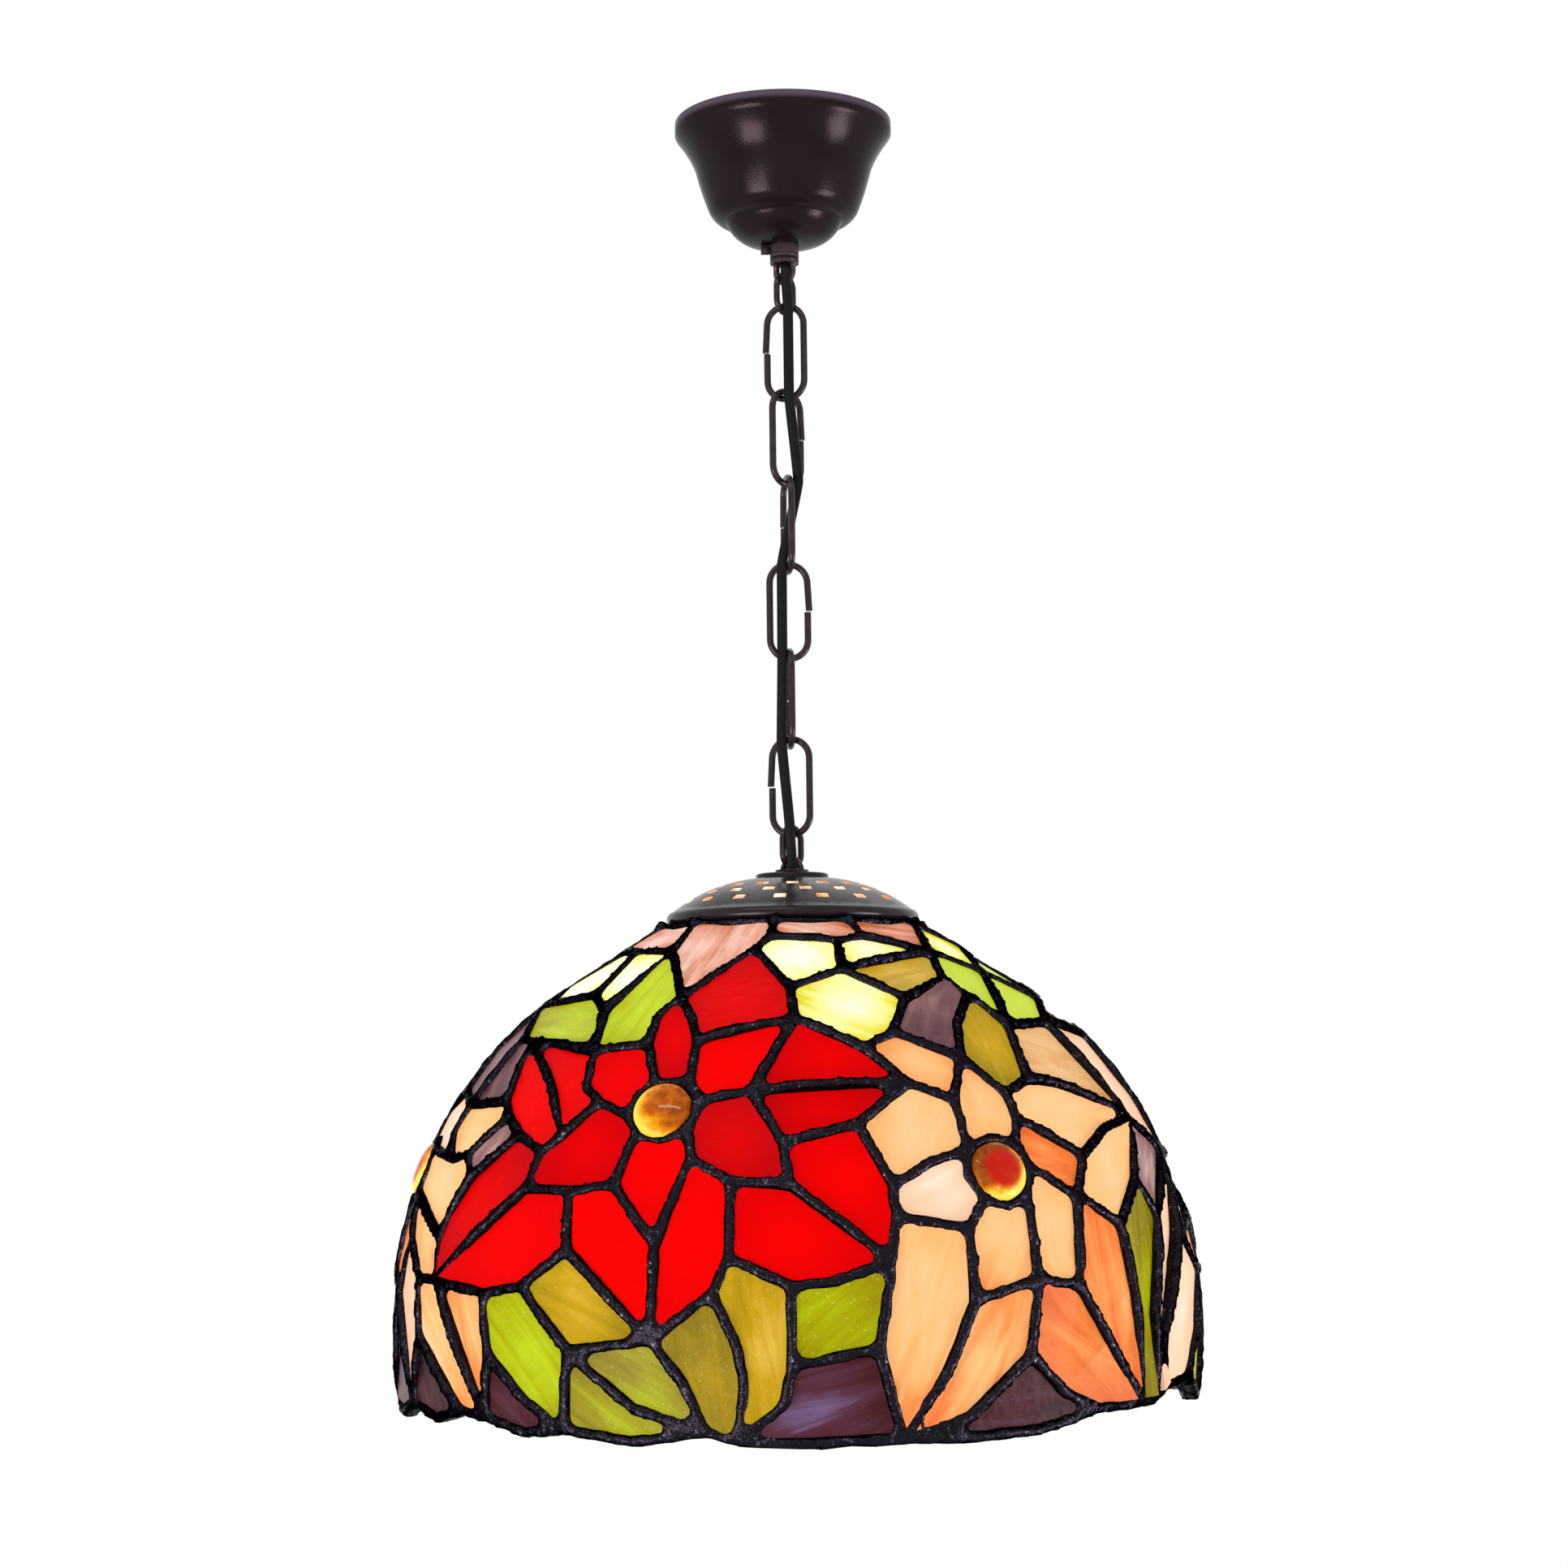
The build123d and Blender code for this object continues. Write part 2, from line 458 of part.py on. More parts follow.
# Points where cames meet: azimuth, height. The pattern is drawn once for half the shade and repeats after 180.
JUNCTIONS = {
    "t0": (-114, 172.5), "t1": (-98, 172.5), "t2": (-81, 172.5), "t3": (-64, 172.5), "t4": (-48, 172.5),
    "t5": (-28, 172.5), "t6": (-8, 172.5), "t7": (8, 172.5), "t8": (24, 172.5), "t9": (45, 172.5),
    "a1": (-41, 161), "a2": (-25, 144), "a3": (-12, 161), "a4": (-8, 166), "a5": (25, 166), "a6": (15, 164),
    "a7": (47, 160), "b1": (12, 153), "b2": (39, 150), "b3": (24, 143), "b4": (-120, 153), "b5": (41, 144),
    "b6": (45, 133), "b7": (-1, 147), "c0": (12, 126), "c1": (18, 131), "c2": (29, 122), "c4": (41, 115),
    "c5": (35, 110), "c6": (-120, 135), "c8": (-18, 129), "c9": (0, 136), "c10": (-38, 126),
    "c11": (-27, 128), "c12": (-65, 131), "c13": (-59, 130), "m1": (-28, 137), "m2": (-20, 136),
    "m23": (33, 135), "u1": (-62, 162), "u2": (-52, 146), "u3": (-43, 140), "u5": (-74, 142),
    "u7": (-81, 163), "v1": (-100, 163), "v2": (-110, 143), "q1": (-88, 150), "p1": (-99, 131),
    "q2": (-84, 128), "r1": (-23, 115), "r2": (-17, 115), "r3": (-14.5, 109), "r4": (-16, 99),
    "r5": (-20, 96.5), "r6": (-24, 98.5), "r7": (-26, 104), "r8": (-25.5, 110), "d1": (-7, 112),
    "d3": (18, 114), "d4": (9, 101), "d5": (-2, 95), "d6": (-1, 82), "d7": (-15, 90), "d10": (-32, 109),
    "d15": (-37, 98), "d16": (-40, 92.5), "d17": (-54, 109), "d18": (-46, 98), "n1": (-36, 114),
    "m7": (-45, 116), "e1": (13, 81), "e2": (12, 57), "e3": (-9, 83), "e5": (-1, 50), "e6": (-9, 59),
    "e7": (-19, 63), "e8": (-26, 82), "e9": (-33, 80), "e10": (-32, 61), "e11": (-41, 81), "e12": (-58, 49),
    "e13": (13, 71), "m3": (-17, 78), "m4": (4, 51), "m5": (-50, 65), "f1": (-19, 33), "f6": (-11, 48),
    "f3": (-39, 49), "f2": (-46, 46), "m6": (-58, 72), "l6": (-55, 84), "l12": (-59, 63), "s1": (25, 92),
    "s2": (29, 95.5), "s3": (33.5, 94), "s4": (34.5, 86), "s5": (33, 77), "s6": (29.5, 73.5),
    "s7": (26, 76), "s8": (24, 84), "d21": (25, 108), "d22": (35, 102), "d23": (-115, 101), "d24": (46, 89),
    "m19": (18.5, 88), "m20": (48, 114), "m21": (55, 98), "m22": (57.5, 80), "e14": (23, 67),
    "e15": (42, 76), "e16": (50, 66), "f9": (23, 44), "f10": (32.5, 50), "f11": (31, 26), "f12": (39.5, 47),
    "m14": (19, 22), "m15": (22, 7), "m16": (36.5, 13), "m17": (45, 28), "m18": (51, 43), "f8": (10, 30),
    "f7": (-1, 25), "h1": (-80, 96), "h2": (-76, 92.5), "h3": (-75, 85), "h4": (-76, 78), "h5": (-80, 74.5),
    "h6": (-84, 78), "h7": (-85, 85), "h8": (-84, 92.5), "l2": (-67, 108), "l3": (-51, 104),
    "l4": (-64, 90), "l5": (-58, 91), "l7": (-68, 99), "l14": (-64, 49), "l15": (-71, 61), "l20": (-63, 30),
    "l22": (-75, 43), "p2": (-98, 108), "p3": (-88, 106), "p4": (-78, 113), "p5": (-94, 66),
    "p6": (-82, 50), "p7": (-92, 45), "p8": (-94, 20), "p9": (-104, 48), "p10": (-107, 26),
    "d25": (-105, 90), "rr2": (-111, 61), "rr3": (-122, 27), "e20": (-119, 67), "m25": (-124, 35),
    "k5": (-78, 20), "f4": (-31, 29), "f5": (-45, 27), "m8": (-39, 13), "m9": (-15, 20), "m10": (-21.5, 11),
    "m11": (-8, 32), "m12": (-7, 19), "m13": (-2, 13), "g0": (-46, 5.5), "g1": (-32, 3.5), "g2": (-12, 4.5),
    "g3": (-8, 1.5), "g4": (13, 1.5), "g6": (43, 6.5), "g7": (52, 6.5), "g8": (-124, 6.5), "g9": (-121, 10.5),
    "g10": (-112, 11.5), "g11": (-102, 3.5), "g12": (-87, 2.5), "g13": (-67, 6.5), "g14": (-52, 6.5),
    "x1": (-39, 1.5), "x2": (-22, 0.5), "x3": (2, 0.5), "x4": (22, 0.5), "x5": (33, 1.5), "x6": (-94, 0.5), "x7": (-76, 0.5),
    "x8": (-59, 2.5),
}

# Panes by glass colour, each as the junctions round it. A trailing ' means the point half a turn further on.
PANES = {
    "crown_pink": (
        "t0 t1 t2 u7 v1", "t2 t3 t4 a1 u1 u7", "t4 t5 t6 a4 a3 a2 a1", "t6 t7 t8 a5 a6 a4",
        "t8 t9 t0' a7 a5",
    ),
    "yellow": (
        "a3 a4 a6 b1 b7", "b7 b1 b3 c1 c0 c9", "a6 a5 a7 b1", "a1 u3 u2 u1", "u7 u1 u2 u5 q1",
        "t0' v1' b4' a7",
    ),
    "amber": (
        "b1 a7 b2 b3", "b5 b6 c4 c5 c2 m23", "e10 f1 f4 f3", "f1 f6 m11 m12 g3 g2 m9",
        "f6 e6 e5 f7 m13 g3 m12 m11", "p7 p6 l22 k5 g12 p8",
    ),
    "green": (
        "a1 a2 m1 c11 c10 u3", "u2 u3 c10 c13 c12 u5", "a7 b4' b6 b5 b2", "b4' v2' c6' b6",
        "v1 u7 q1 v2 b4", "f2 f3 f4 g1 m8 f5", "f4 f1 m9 g2 m10", "f4 m10 g2 x2 g1", "e5 m4 e2 f8 f7",
        "e16 m22 e20' m25' g8' g7 m18", "p9 p7 p8 g11 g10 p10",
    ),
    "mauve": (
        "b3 b2 b5 m23 c2 c1", "c12 c13 d17 l2", "l3 d18 l6 l5", "d23' d25' e20' m22", "u5 c12 l2 p4 q2",
        "v2 q1 u5 q2 p1 c6",
    ),
    "maroon": (
        "f5 m8 g1 x1 g0", "f7 f8 g4 x3 g3 m13", "f11 m16 g6 x5 x4 g4 m15", "l20 g14 x8 g13",
        "p8 g12 x6 g11", "l22 g13 x7 g12 k5",
    ),
    "tan": (
        "b6 c6' d23' m20 c4", "p1 q2 p4 p3 p2",
    ),
    "red": (
        "a2 m2 c8 r2 r1 c11 m1", "c10 c11 r1 r8 r7 d10 n1", "d10 r7 r6 e8 e9 e11 d16 d15",
        "r6 r5 r4 d7 m3 e7 e8", "r3 d1 d5 d6 e3 d7 r4", "c8 c9 d1 r3 r2", "a2 a3 b7 c9 c8 m2",
        "c9 c0 d3 d1", "d1 d3 d4 d5", "d5 d4 e1 e13 e2 d6", "e3 d6 e2 m4 e5 e6", "d7 e3 e6 f6 f1 e7 m3",
        "e9 e8 e7 f1 e10", "e11 e9 e10 f3 f2 e12 m5", "d18 d16 e11 m5 e12 l12 m6 l6",
        "c13 m7 d15 d16 d18 l3 d17", "c13 c10 n1 d10 d15 m7",
    ),
    "peach": (
        "d4 d3 d21 s1 m19 e1", "c0 c1 c2 d21 d3", "c2 c5 d22 s3 s2 s1 d21", "c5 c4 m20 d23' m21 d24 d22",
        "d24 m21 d23' m22 e16 e15", "s4 e15 f12 f10 s5", "e14 s7 s6 s5 f10 f9", "e13 e14 f9 m14 g4 f8 e2",
        "f9 f10 f11 m15 g4 m14", "d17 l3 l5 l4 l7 l2", "h2 l4 l5 l6 m6 l12 h4 h3", "h4 l12 e12 l14 l15",
        "e12 f2 f5 g0", "l14 e12 g0 g14 l20", "p2 p3 h8 h7 d25",
    ),
    "orange": (
        "d22 d24 e15 s4 s3", "e15 e16 m18 g7 m17 f12", "f10 f12 m17 g7 g6 m16 f11", "rr2 p5 p7 p9",
        "h5 h4 l15 l22 p6",
    ),
    "white": (
        "e1 m19 s1 s8 s7 e14 e13", "c6 p1 p2 d25 d23", "p3 p4 l2 l7 l4 h2 h1 h8",
        "d25 rr2 rr3 g9 g8 m25 e20", "l15 l14 l20 g13 l22", "rr2 p9 p10 g10 g9 rr3", "d25 h7 h6 p5 rr2",
        "h6 h5 p6 p7 p5",
    ),
}
HEARTS = ("r1 r2 r3 r4 r5 r6 r7 r8", "s1 s2 s3 s4 s5 s6 s7 s8", "h1 h2 h3 h4 h5 h6 h7 h8")
KNOBS = ("t0", "t2", "t4", "t6", "t8")     # solder knobs where the crown's cames meet the cap
BOTTOM_EDGE = "g0 x1 g1 x2 g2 g3 x3 g4 x4 x5 g6 g7 g8' g9' g10' g11' x6' g12' x7' g13' x8' g14' g0'"


def on_sphere(radius, height):
    """Section point on a sphere about the mould's centre."""
    return sqrt(radius**2 - (height - MOULD_CENTRE) ** 2), SHADE_FOOT + height


def mould_point(azimuth, height):
    """Point of the mould in the part's frame."""
    if height <= CROWN_FOOT:
        radius = sqrt(MOULD_R**2 - (height - MOULD_CENTRE) ** 2)
    else:
        radius = crown_foot_r + (height - CROWN_FOOT) * (CROWN_TOP_R - crown_foot_r) / (CROWN_TOP - CROWN_FOOT)
    return Vector(radius * sin(radians(azimuth)), -radius * cos(radians(azimuth)), SHADE_FOOT + height)


def corners(names, turn):
    """Mould points of a list of junction names, turned about Z."""
    points = []
    for name in names.split():
        azimuth, height = JUNCTIONS[name.rstrip("'")]
        points.append(mould_point(azimuth + turn + 180 * name.endswith("'"), height))
    return points


def lay_flat(names, turn):
    """Plane that fits the corners best, facing out, and the corners in it."""
    points = corners(names, turn)
    centre = sum(points, Vector()) / len(points)
    normal = sum(((b - centre).cross(a - centre) for a, b in zip(points, points[1:] + points[:1])), Vector())
    plane = Plane(centre, z_dir=normal)
    flat = [plane.to_local_coords(point) for point in points]
    return plane, [(point.X, point.Y) for point in flat]


HALVES = (0, 180)
cap_seat = CAP_RIM_FOOT - SEAT
knob_ring = CAP_RIM_R + SEAT + KNOB_R
crown_slope = (CROWN_TOP - CROWN_FOOT) / (crown_foot_r - CROWN_TOP_R)
with BuildPart() as lead_web:
    with BuildSketch(Plane.XZ):
        with BuildLine():
            out_r, in_r = MOULD_R + LEAD_OUT, MOULD_R - LEAD_IN
            rise = CROWN_FOOT - MOULD_CENTRE
            out_foot, out_knee = on_sphere(out_r, -12), on_sphere(out_r, MOULD_CENTRE + rise * out_r / MOULD_R)
            in_foot, in_knee = on_sphere(in_r, -12), on_sphere(in_r, MOULD_CENTRE + rise * in_r / MOULD_R)
            edge_r = out_knee[0] - (cap_seat - out_knee[1]) / crown_slope
            throat_r = 43.2
            ThreePointArc(out_foot, on_sphere(out_r, 60), out_knee)
            Polyline(out_knee, (edge_r, cap_seat), (throat_r, cap_seat), (throat_r, cap_seat - 2.8), in_knee)
            ThreePointArc(in_knee, on_sphere(in_r, 60), in_foot)
            Line(in_foot, out_foot)
        make_face()
    revolve(axis=Axis.Z)
    for azimuth in [JUNCTIONS[name][0] + turn for turn in HALVES for name in KNOBS]:
        with Locations((knob_ring * sin(radians(azimuth)), -knob_ring * cos(radians(azimuth)), CAP_RIM_FOOT)):
            Sphere(KNOB_R)
    for turn in HALVES:
        for names in [names for group in PANES.values() for names in group]:
            plane, outline = lay_flat(names, turn)
            with BuildSketch(plane):
                with BuildLine():
                    Polyline(*outline, close=True)
                make_face()
                offset(amount=-SEAM / 2, kind=Kind.INTERSECTION)
        for names in HEARTS:
            with BuildSketch(lay_flat(names, turn)[0]):
                Circle(HEART_R)
    extrude(amount=9, both=True, mode=Mode.SUBTRACT)
    for turn in HALVES:
        edge = corners(BOTTOM_EDGE, turn)
        for a, b in zip(edge, edge[1:]):
            along = Vector(b.X - a.X, b.Y - a.Y, 0)
            outward = Vector(along.Y, -along.X, 0).normalized()
            drop = SEAM / 2 + 0.2
            with BuildSketch(Plane(a, x_dir=along, z_dir=outward)):
                width = along.length
                Polygon((-0.4, -drop), (width + 0.4, b.Z - a.Z - drop), (width + 0.4, -30), (-0.4, -30), align=None)
    extrude(amount=12, both=True, mode=Mode.SUBTRACT)
save(lead_web, "lead_web")

for group, panes in PANES.items():
    with BuildPart() as glass:
        for turn in HALVES:
            for names in panes:
                plane, outline = lay_flat(names, turn)
                with BuildSketch(plane):
                    with BuildLine():
                        Polyline(*outline, close=True)
                    make_face()
                    offset(amount=-SEAM / 2, kind=Kind.INTERSECTION)
        extrude(amount=PANE_T / 2, both=True)
    save(glass, f"glass_{group}")

# Domed hearts of the flowers: one red-centred node and one amber node per flower kind.
for node, names in zip(("cabochons_red_flower", "cabochons_round_flower", "cabochons_side_flower"), HEARTS):
    with BuildPart() as hearts:
        for turn in HALVES:
            plane = lay_flat(names, turn)[0]
            with BuildSketch(plane.offset(-PANE_T / 2)):
                Circle(HEART_R)
            extrude(amount=PANE_T)
            with BuildSketch(plane.offset(PANE_T / 2)):
                Circle(HEART_R - 0.4)
            extrude(amount=3.0, taper=38)
    save(hearts, node)

# ---------------------------------------------------------------- mains cord
# Route: out of the terminal block, down the canopy nipple, out at the front of the hang loop, then through the
# chain past each crossing of two links, and down the stem to the holder. Crossings: height, radius, direction.
CROSSINGS = [
    (-59.0, 4.4, 275), (-72.5, 4.2, 285), (-105.8, 4.4, 284), (-139.1, 4.4, 342), (-172.3, 4.3, 235),
    (-205.6, 4.3, 232), (-238.8, 4.3, 220), (-272.1, 4.8, 263), (-285.4, 4.0, 270),
]
points = [(BLOCK_X + BLOCK[0] / 2 - 1.8, 0, CORD_TOP), (0.4, -0.9, CORD_TOP), (0.1, -1.3, -54.3)]
points += [(r * cos(radians(d)), r * sin(radians(d)), z) for z, r, d in CROSSINGS]
points += [(0, -2.2, -290.4), (0.1, -2.1, -310.4), (0, -7.0, -314.0), (0, -7.0, CORE_FOOT + 0.5)]
radii = [3.2, 5] + [6] * len(CROSSINGS) + [6, 3, 3]
with BuildPart() as mains_cord:
    with BuildLine() as route:
        FilletPolyline(*points, radius=radii)
    with BuildSketch(Plane(route.line @ 0, z_dir=route.line % 0)):
        Circle(CORD_R)
    sweep()
print("cord length", round(sum(edge.length for edge in route.edges()), 1), "bend radii", radii)
save(mains_cord, "mains_cord")
for node, height in hinges:
    print("hinge", node, round(height, 3))
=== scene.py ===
"""A leaded glass pendant lamp: bell canopy, wire chain with its flex, vent cap, and a dome of opalescent panes."""

import json
import math
import random

import bmesh
import bpy
import numpy as np
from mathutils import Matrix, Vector


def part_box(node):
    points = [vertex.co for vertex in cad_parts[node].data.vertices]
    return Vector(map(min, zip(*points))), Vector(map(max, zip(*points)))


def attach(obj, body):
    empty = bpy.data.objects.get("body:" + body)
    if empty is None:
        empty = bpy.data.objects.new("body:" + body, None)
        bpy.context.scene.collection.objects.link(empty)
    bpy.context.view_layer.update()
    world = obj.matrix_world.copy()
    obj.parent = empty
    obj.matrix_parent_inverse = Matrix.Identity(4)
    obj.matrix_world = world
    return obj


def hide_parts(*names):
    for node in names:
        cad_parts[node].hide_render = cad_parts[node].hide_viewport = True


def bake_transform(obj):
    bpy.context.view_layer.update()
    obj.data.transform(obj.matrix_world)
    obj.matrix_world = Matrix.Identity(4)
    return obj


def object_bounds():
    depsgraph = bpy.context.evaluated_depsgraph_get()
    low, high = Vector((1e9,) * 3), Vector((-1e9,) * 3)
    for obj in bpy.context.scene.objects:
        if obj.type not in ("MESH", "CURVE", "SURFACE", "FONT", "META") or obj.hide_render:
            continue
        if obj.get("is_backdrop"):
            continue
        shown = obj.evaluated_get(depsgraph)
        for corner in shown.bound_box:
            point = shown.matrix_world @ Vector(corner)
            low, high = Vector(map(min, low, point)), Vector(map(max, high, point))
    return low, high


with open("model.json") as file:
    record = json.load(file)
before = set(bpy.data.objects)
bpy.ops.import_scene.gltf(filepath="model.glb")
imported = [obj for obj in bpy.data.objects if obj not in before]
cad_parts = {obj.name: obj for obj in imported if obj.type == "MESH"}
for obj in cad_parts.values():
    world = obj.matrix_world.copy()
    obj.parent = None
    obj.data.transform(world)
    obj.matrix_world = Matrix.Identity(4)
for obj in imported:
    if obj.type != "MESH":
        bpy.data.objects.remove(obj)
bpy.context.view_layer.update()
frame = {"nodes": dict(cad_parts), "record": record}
scene = bpy.context.scene
scene.view_settings.view_transform = "Standard"

# ---------------------------------------------------------------- the viewer's place
# The lamp hangs from the ceiling. The eye is a little over a metre in front of it, level with the lower half
# of the chain's end, and tilted up to take in the whole lamp.
camera = bpy.data.objects.new("camera", bpy.data.cameras.new("camera"))
camera.data.lens = 67.7
camera.data.sensor_width = 36.0
camera.location = (-0.004, -1.100, -0.368)
camera.rotation_euler = (math.radians(90 + 5.9), math.radians(0.7), 0)
scene.collection.objects.link(camera)
scene.camera = camera


# ---------------------------------------------------------------- paint and node trees
# Every finish is a node tree. Socket lets a socket take part in ordinary sums, Tree adds any other node, and Finish
# is the tree of one painted, polished or glass surface.
class Socket:
    """The output of a node, as a number or a colour that can be added, scaled and compared."""

    def __init__(self, tree, link):
        self.tree, self.link = tree, link

    def sum(self, operation, *values):
        return self.tree.node("ShaderNodeMath", {"operation": operation}, *values)

    def __add__(self, other):
        return self.sum("ADD", self, other)

    def __sub__(self, other):
        return self.sum("SUBTRACT", self, other)

    def __rsub__(self, other):
        return self.sum("SUBTRACT", other, self)

    def __mul__(self, other):
        return self.sum("MULTIPLY", self, other)

    def __gt__(self, other):
        return self.sum("GREATER_THAN", self, other)

    def __lt__(self, other):
        return self.sum("LESS_THAN", self, other)

    __radd__, __rmul__ = __add__, __mul__

    def clamped(self):
        return self.tree.node("ShaderNodeClamp", {}, self)


class Tree:
    """Adds nodes to one tree: a type, its settings, then the values or links of its sockets in order."""

    def __init__(self, nodes):
        self.tree = nodes

    def node(self, kind, settings=None, *values, out=0, **named):
        made = self.tree.nodes.new(kind)
        for key, value in (settings or {}).items():
            if key == "stops":
                ramp = made.color_ramp
                while len(ramp.elements) < len(value):
                    ramp.elements.new(0.5)
                for element, (place, colour) in zip(ramp.elements, value):
                    element.position, element.color = place, (*colour, 1)
            else:
                setattr(made, key, value)
        sockets = [(made.inputs[i], v) for i, v in enumerate(values)]
        sockets += [(made.inputs[k.replace("_", " ")], v) for k, v in named.items()]
        for socket, value in sockets:
            if isinstance(value, Socket):
                self.tree.links.new(value.link, socket)
            elif value is not None:
                socket.default_value = value
        return Socket(self, made.outputs[out]) if made.outputs else made


class Finish(Tree):
    """A surface finish with one Principled shader."""

    def __init__(self, name):
        self.material = bpy.data.materials.new(name)
        self.material.use_nodes = True
        super().__init__(self.material.node_tree)
        self.shader = self.tree.nodes["Principled BSDF"]

    def place(self, size):
        """Object coordinates, in units of the given size in metres."""
        where = self.node("ShaderNodeTexCoord", {}, out="Object")
        return self.node("ShaderNodeVectorMath", {"operation": "SCALE"}, where, Scale=1 / size)

    def grain(self, size, detail=3.0, roughness=0.5):
        """Soft noise with features of the given size."""
        return self.node("ShaderNodeTexNoise", {}, Vector=self.place(size), Scale=1.0, Detail=detail,
                         Roughness=roughness)

    def rising(self, value, start, end):
        """0 up to the start, 1 from the end on, and an even rise between them. It may also run downwards."""
        return ((value - start) * (1 / (end - start))).clamped()

    def blend(self, factor, low, high):
        """Colour between two colours."""
        return self.node("ShaderNodeMixRGB", {}, factor, (*low, 1) if isinstance(low, tuple) else low,
                         (*high, 1) if isinstance(high, tuple) else high)

    def ramp(self, factor, stops):
        """Colour along a row of stops, each a place from 0 to 1 and a display red, green and blue."""
        colours = [(place, shade(*colour)) for place, *colour in stops]
        return self.node("ShaderNodeValToRGB", {"stops": colours}, factor)

    def bump(self, height, depth):
        return self.node("ShaderNodeBump", {}, Strength=1.0, Distance=depth, Height=height)

    def wear(self, **sockets):
        for name, value in sockets.items():
            socket = self.shader.inputs[name.replace("_", " ")]
            if isinstance(value, Socket):
                self.tree.links.new(value.link, socket)
            else:
                socket.default_value = value
        return self.material


def shade(red, green, blue):
    """A display colour, 0 to 255, as a scene colour."""
    parts = (red / 255, green / 255, blue / 255)
    return tuple(c / 12.92 if c <= 0.04045 else ((c + 0.055) / 1.055) ** 2.4 for c in parts)


# ---------------------------------------------------------------- room
# A plain white room. Its floor and walls are white to the eye and in reflections, and dimmer as light, so that
# they don't wash out the lamp.
def white_to_eye(nodes):
    """1 for what is looked at, straight, in a reflection or through glass, and 0 for light on other things."""
    straight = nodes.node("ShaderNodeLightPath", {}, out="Is Camera Ray")
    mirrored = nodes.node("ShaderNodeLightPath", {}, out="Is Glossy Ray")
    through = nodes.node("ShaderNodeLightPath", {}, out="Is Transmission Ray")
    return (straight + mirrored + through).clamped()


scene.world = bpy.data.worlds.new("room")
scene.world.use_nodes = True
room = Tree(scene.world.node_tree)
ROOM_LIGHT = 0.62      # the room's strength as light, where white to the eye is 1
room_light = room.tree.nodes["Background"]
room.tree.links.new((white_to_eye(room) * (1 - ROOM_LIGHT) + ROOM_LIGHT).link, room_light.inputs["Strength"])
room_light.inputs["Color"].default_value = (1, 1, 1, 1)

FLOOR_LEVEL, FLOOR_REACH = -0.95, 4
floor_mesh = bpy.data.meshes.new("floor")
floor_mesh.from_pydata([(x * FLOOR_REACH, y * FLOOR_REACH, FLOOR_LEVEL)
                        for x, y in ((-1, -1), (1, -1), (1, 1), (-1, 1))], [], [(0, 1, 2, 3)])
floor = bpy.data.objects.new("floor", floor_mesh)
scene.collection.objects.link(floor)
floor_finish = Finish("floor")
floor_mesh.materials.append(floor_finish.wear(Base_Color=(0.86, 0.86, 0.86, 1), Roughness=0.9))
white = floor_finish.tree.nodes.new("ShaderNodeEmission")
cover = floor_finish.tree.nodes.new("ShaderNodeMixShader")
FLOOR_WHITE = 0.985      # the little that is left out lets the lamp's shadow show
floor_finish.tree.links.new((white_to_eye(floor_finish) * FLOOR_WHITE).link, cover.inputs[0])
floor_finish.tree.links.new(floor_finish.shader.outputs[0], cover.inputs[1])
floor_finish.tree.links.new(white.outputs[0], cover.inputs[2])
floor_finish.tree.links.new(cover.outputs[0], floor_finish.tree.nodes["Material Output"].inputs["Surface"])
floor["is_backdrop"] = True


def lamp(name, place, aim, width, height, watts):
    """A soft box at a place, turned to what it is aimed at."""
    light = bpy.data.lights.new(name, "AREA")
    light.shape, light.size, light.size_y, light.energy = "RECTANGLE", width, height, watts
    made = bpy.data.objects.new(name, light)
    made.location = place
    made.rotation_euler = (Vector(aim) - Vector(place)).to_track_quat("-Z", "Y").to_euler()
    scene.collection.objects.link(made)


# Two broad soft boxes low on either side, a narrow strip above in front, and a large soft box above behind.
lamp("left box", (-0.77, -0.92, -0.7), (0, 0, -0.2), 0.58, 0.46, 11.0)
lamp("right box", (1.07, -0.33, -0.68), (0, 0, -0.2), 0.44, 0.44, 8.5)
lamp("top strip", (-0.3, -0.6, 0.5), (0, 0, -0.4), 0.7, 0.05, 2.2)
lamp("back box", (0.2, 0.9, 0.9), (0, 0, -0.2), 1.2, 1.0, 2.5)


# ---------------------------------------------------------------- pieces carried over from the solids
# Spun, turned and pressed pieces keep their solid's shape. Each copy is merged, smoothed at its soft edges, and
# rides on the body that its solid belongs to.
body_of = {node: body for body, nodes in frame["record"]["behaviour"]["bodies"].items() for node in nodes}


def merged_copy(node):
    """The node's mesh with its loose triangles joined up."""
    mesh = frame["nodes"][node].data.copy()
    mesh.name = "dressed_" + node
    work = bmesh.new()
    work.from_mesh(mesh)
    bmesh.ops.remove_doubles(work, verts=work.verts, dist=1e-6)
    work.to_mesh(mesh)
    work.free()
    mesh.materials.clear()
    return mesh


def put(name, mesh, body, finish=None, replaces=()):
    """Adds a finished mesh to the scene, riding on its body."""
    made = bpy.data.objects.new(name, mesh)
    scene.collection.objects.link(made)
    if finish:
        mesh.materials.append(finish)
    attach(made, body)
    if replaces:
        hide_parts(*replaces)
    return made


def dress(node, finish, crease=32):
    """A copy of the node in its finish, with soft edges smoothed."""
    mesh = merged_copy(node)
    mesh.shade_smooth()
    mesh.set_sharp_from_angle(angle=math.radians(crease))
    return put(node + "_skin", mesh, body_of[node], finish, [node])


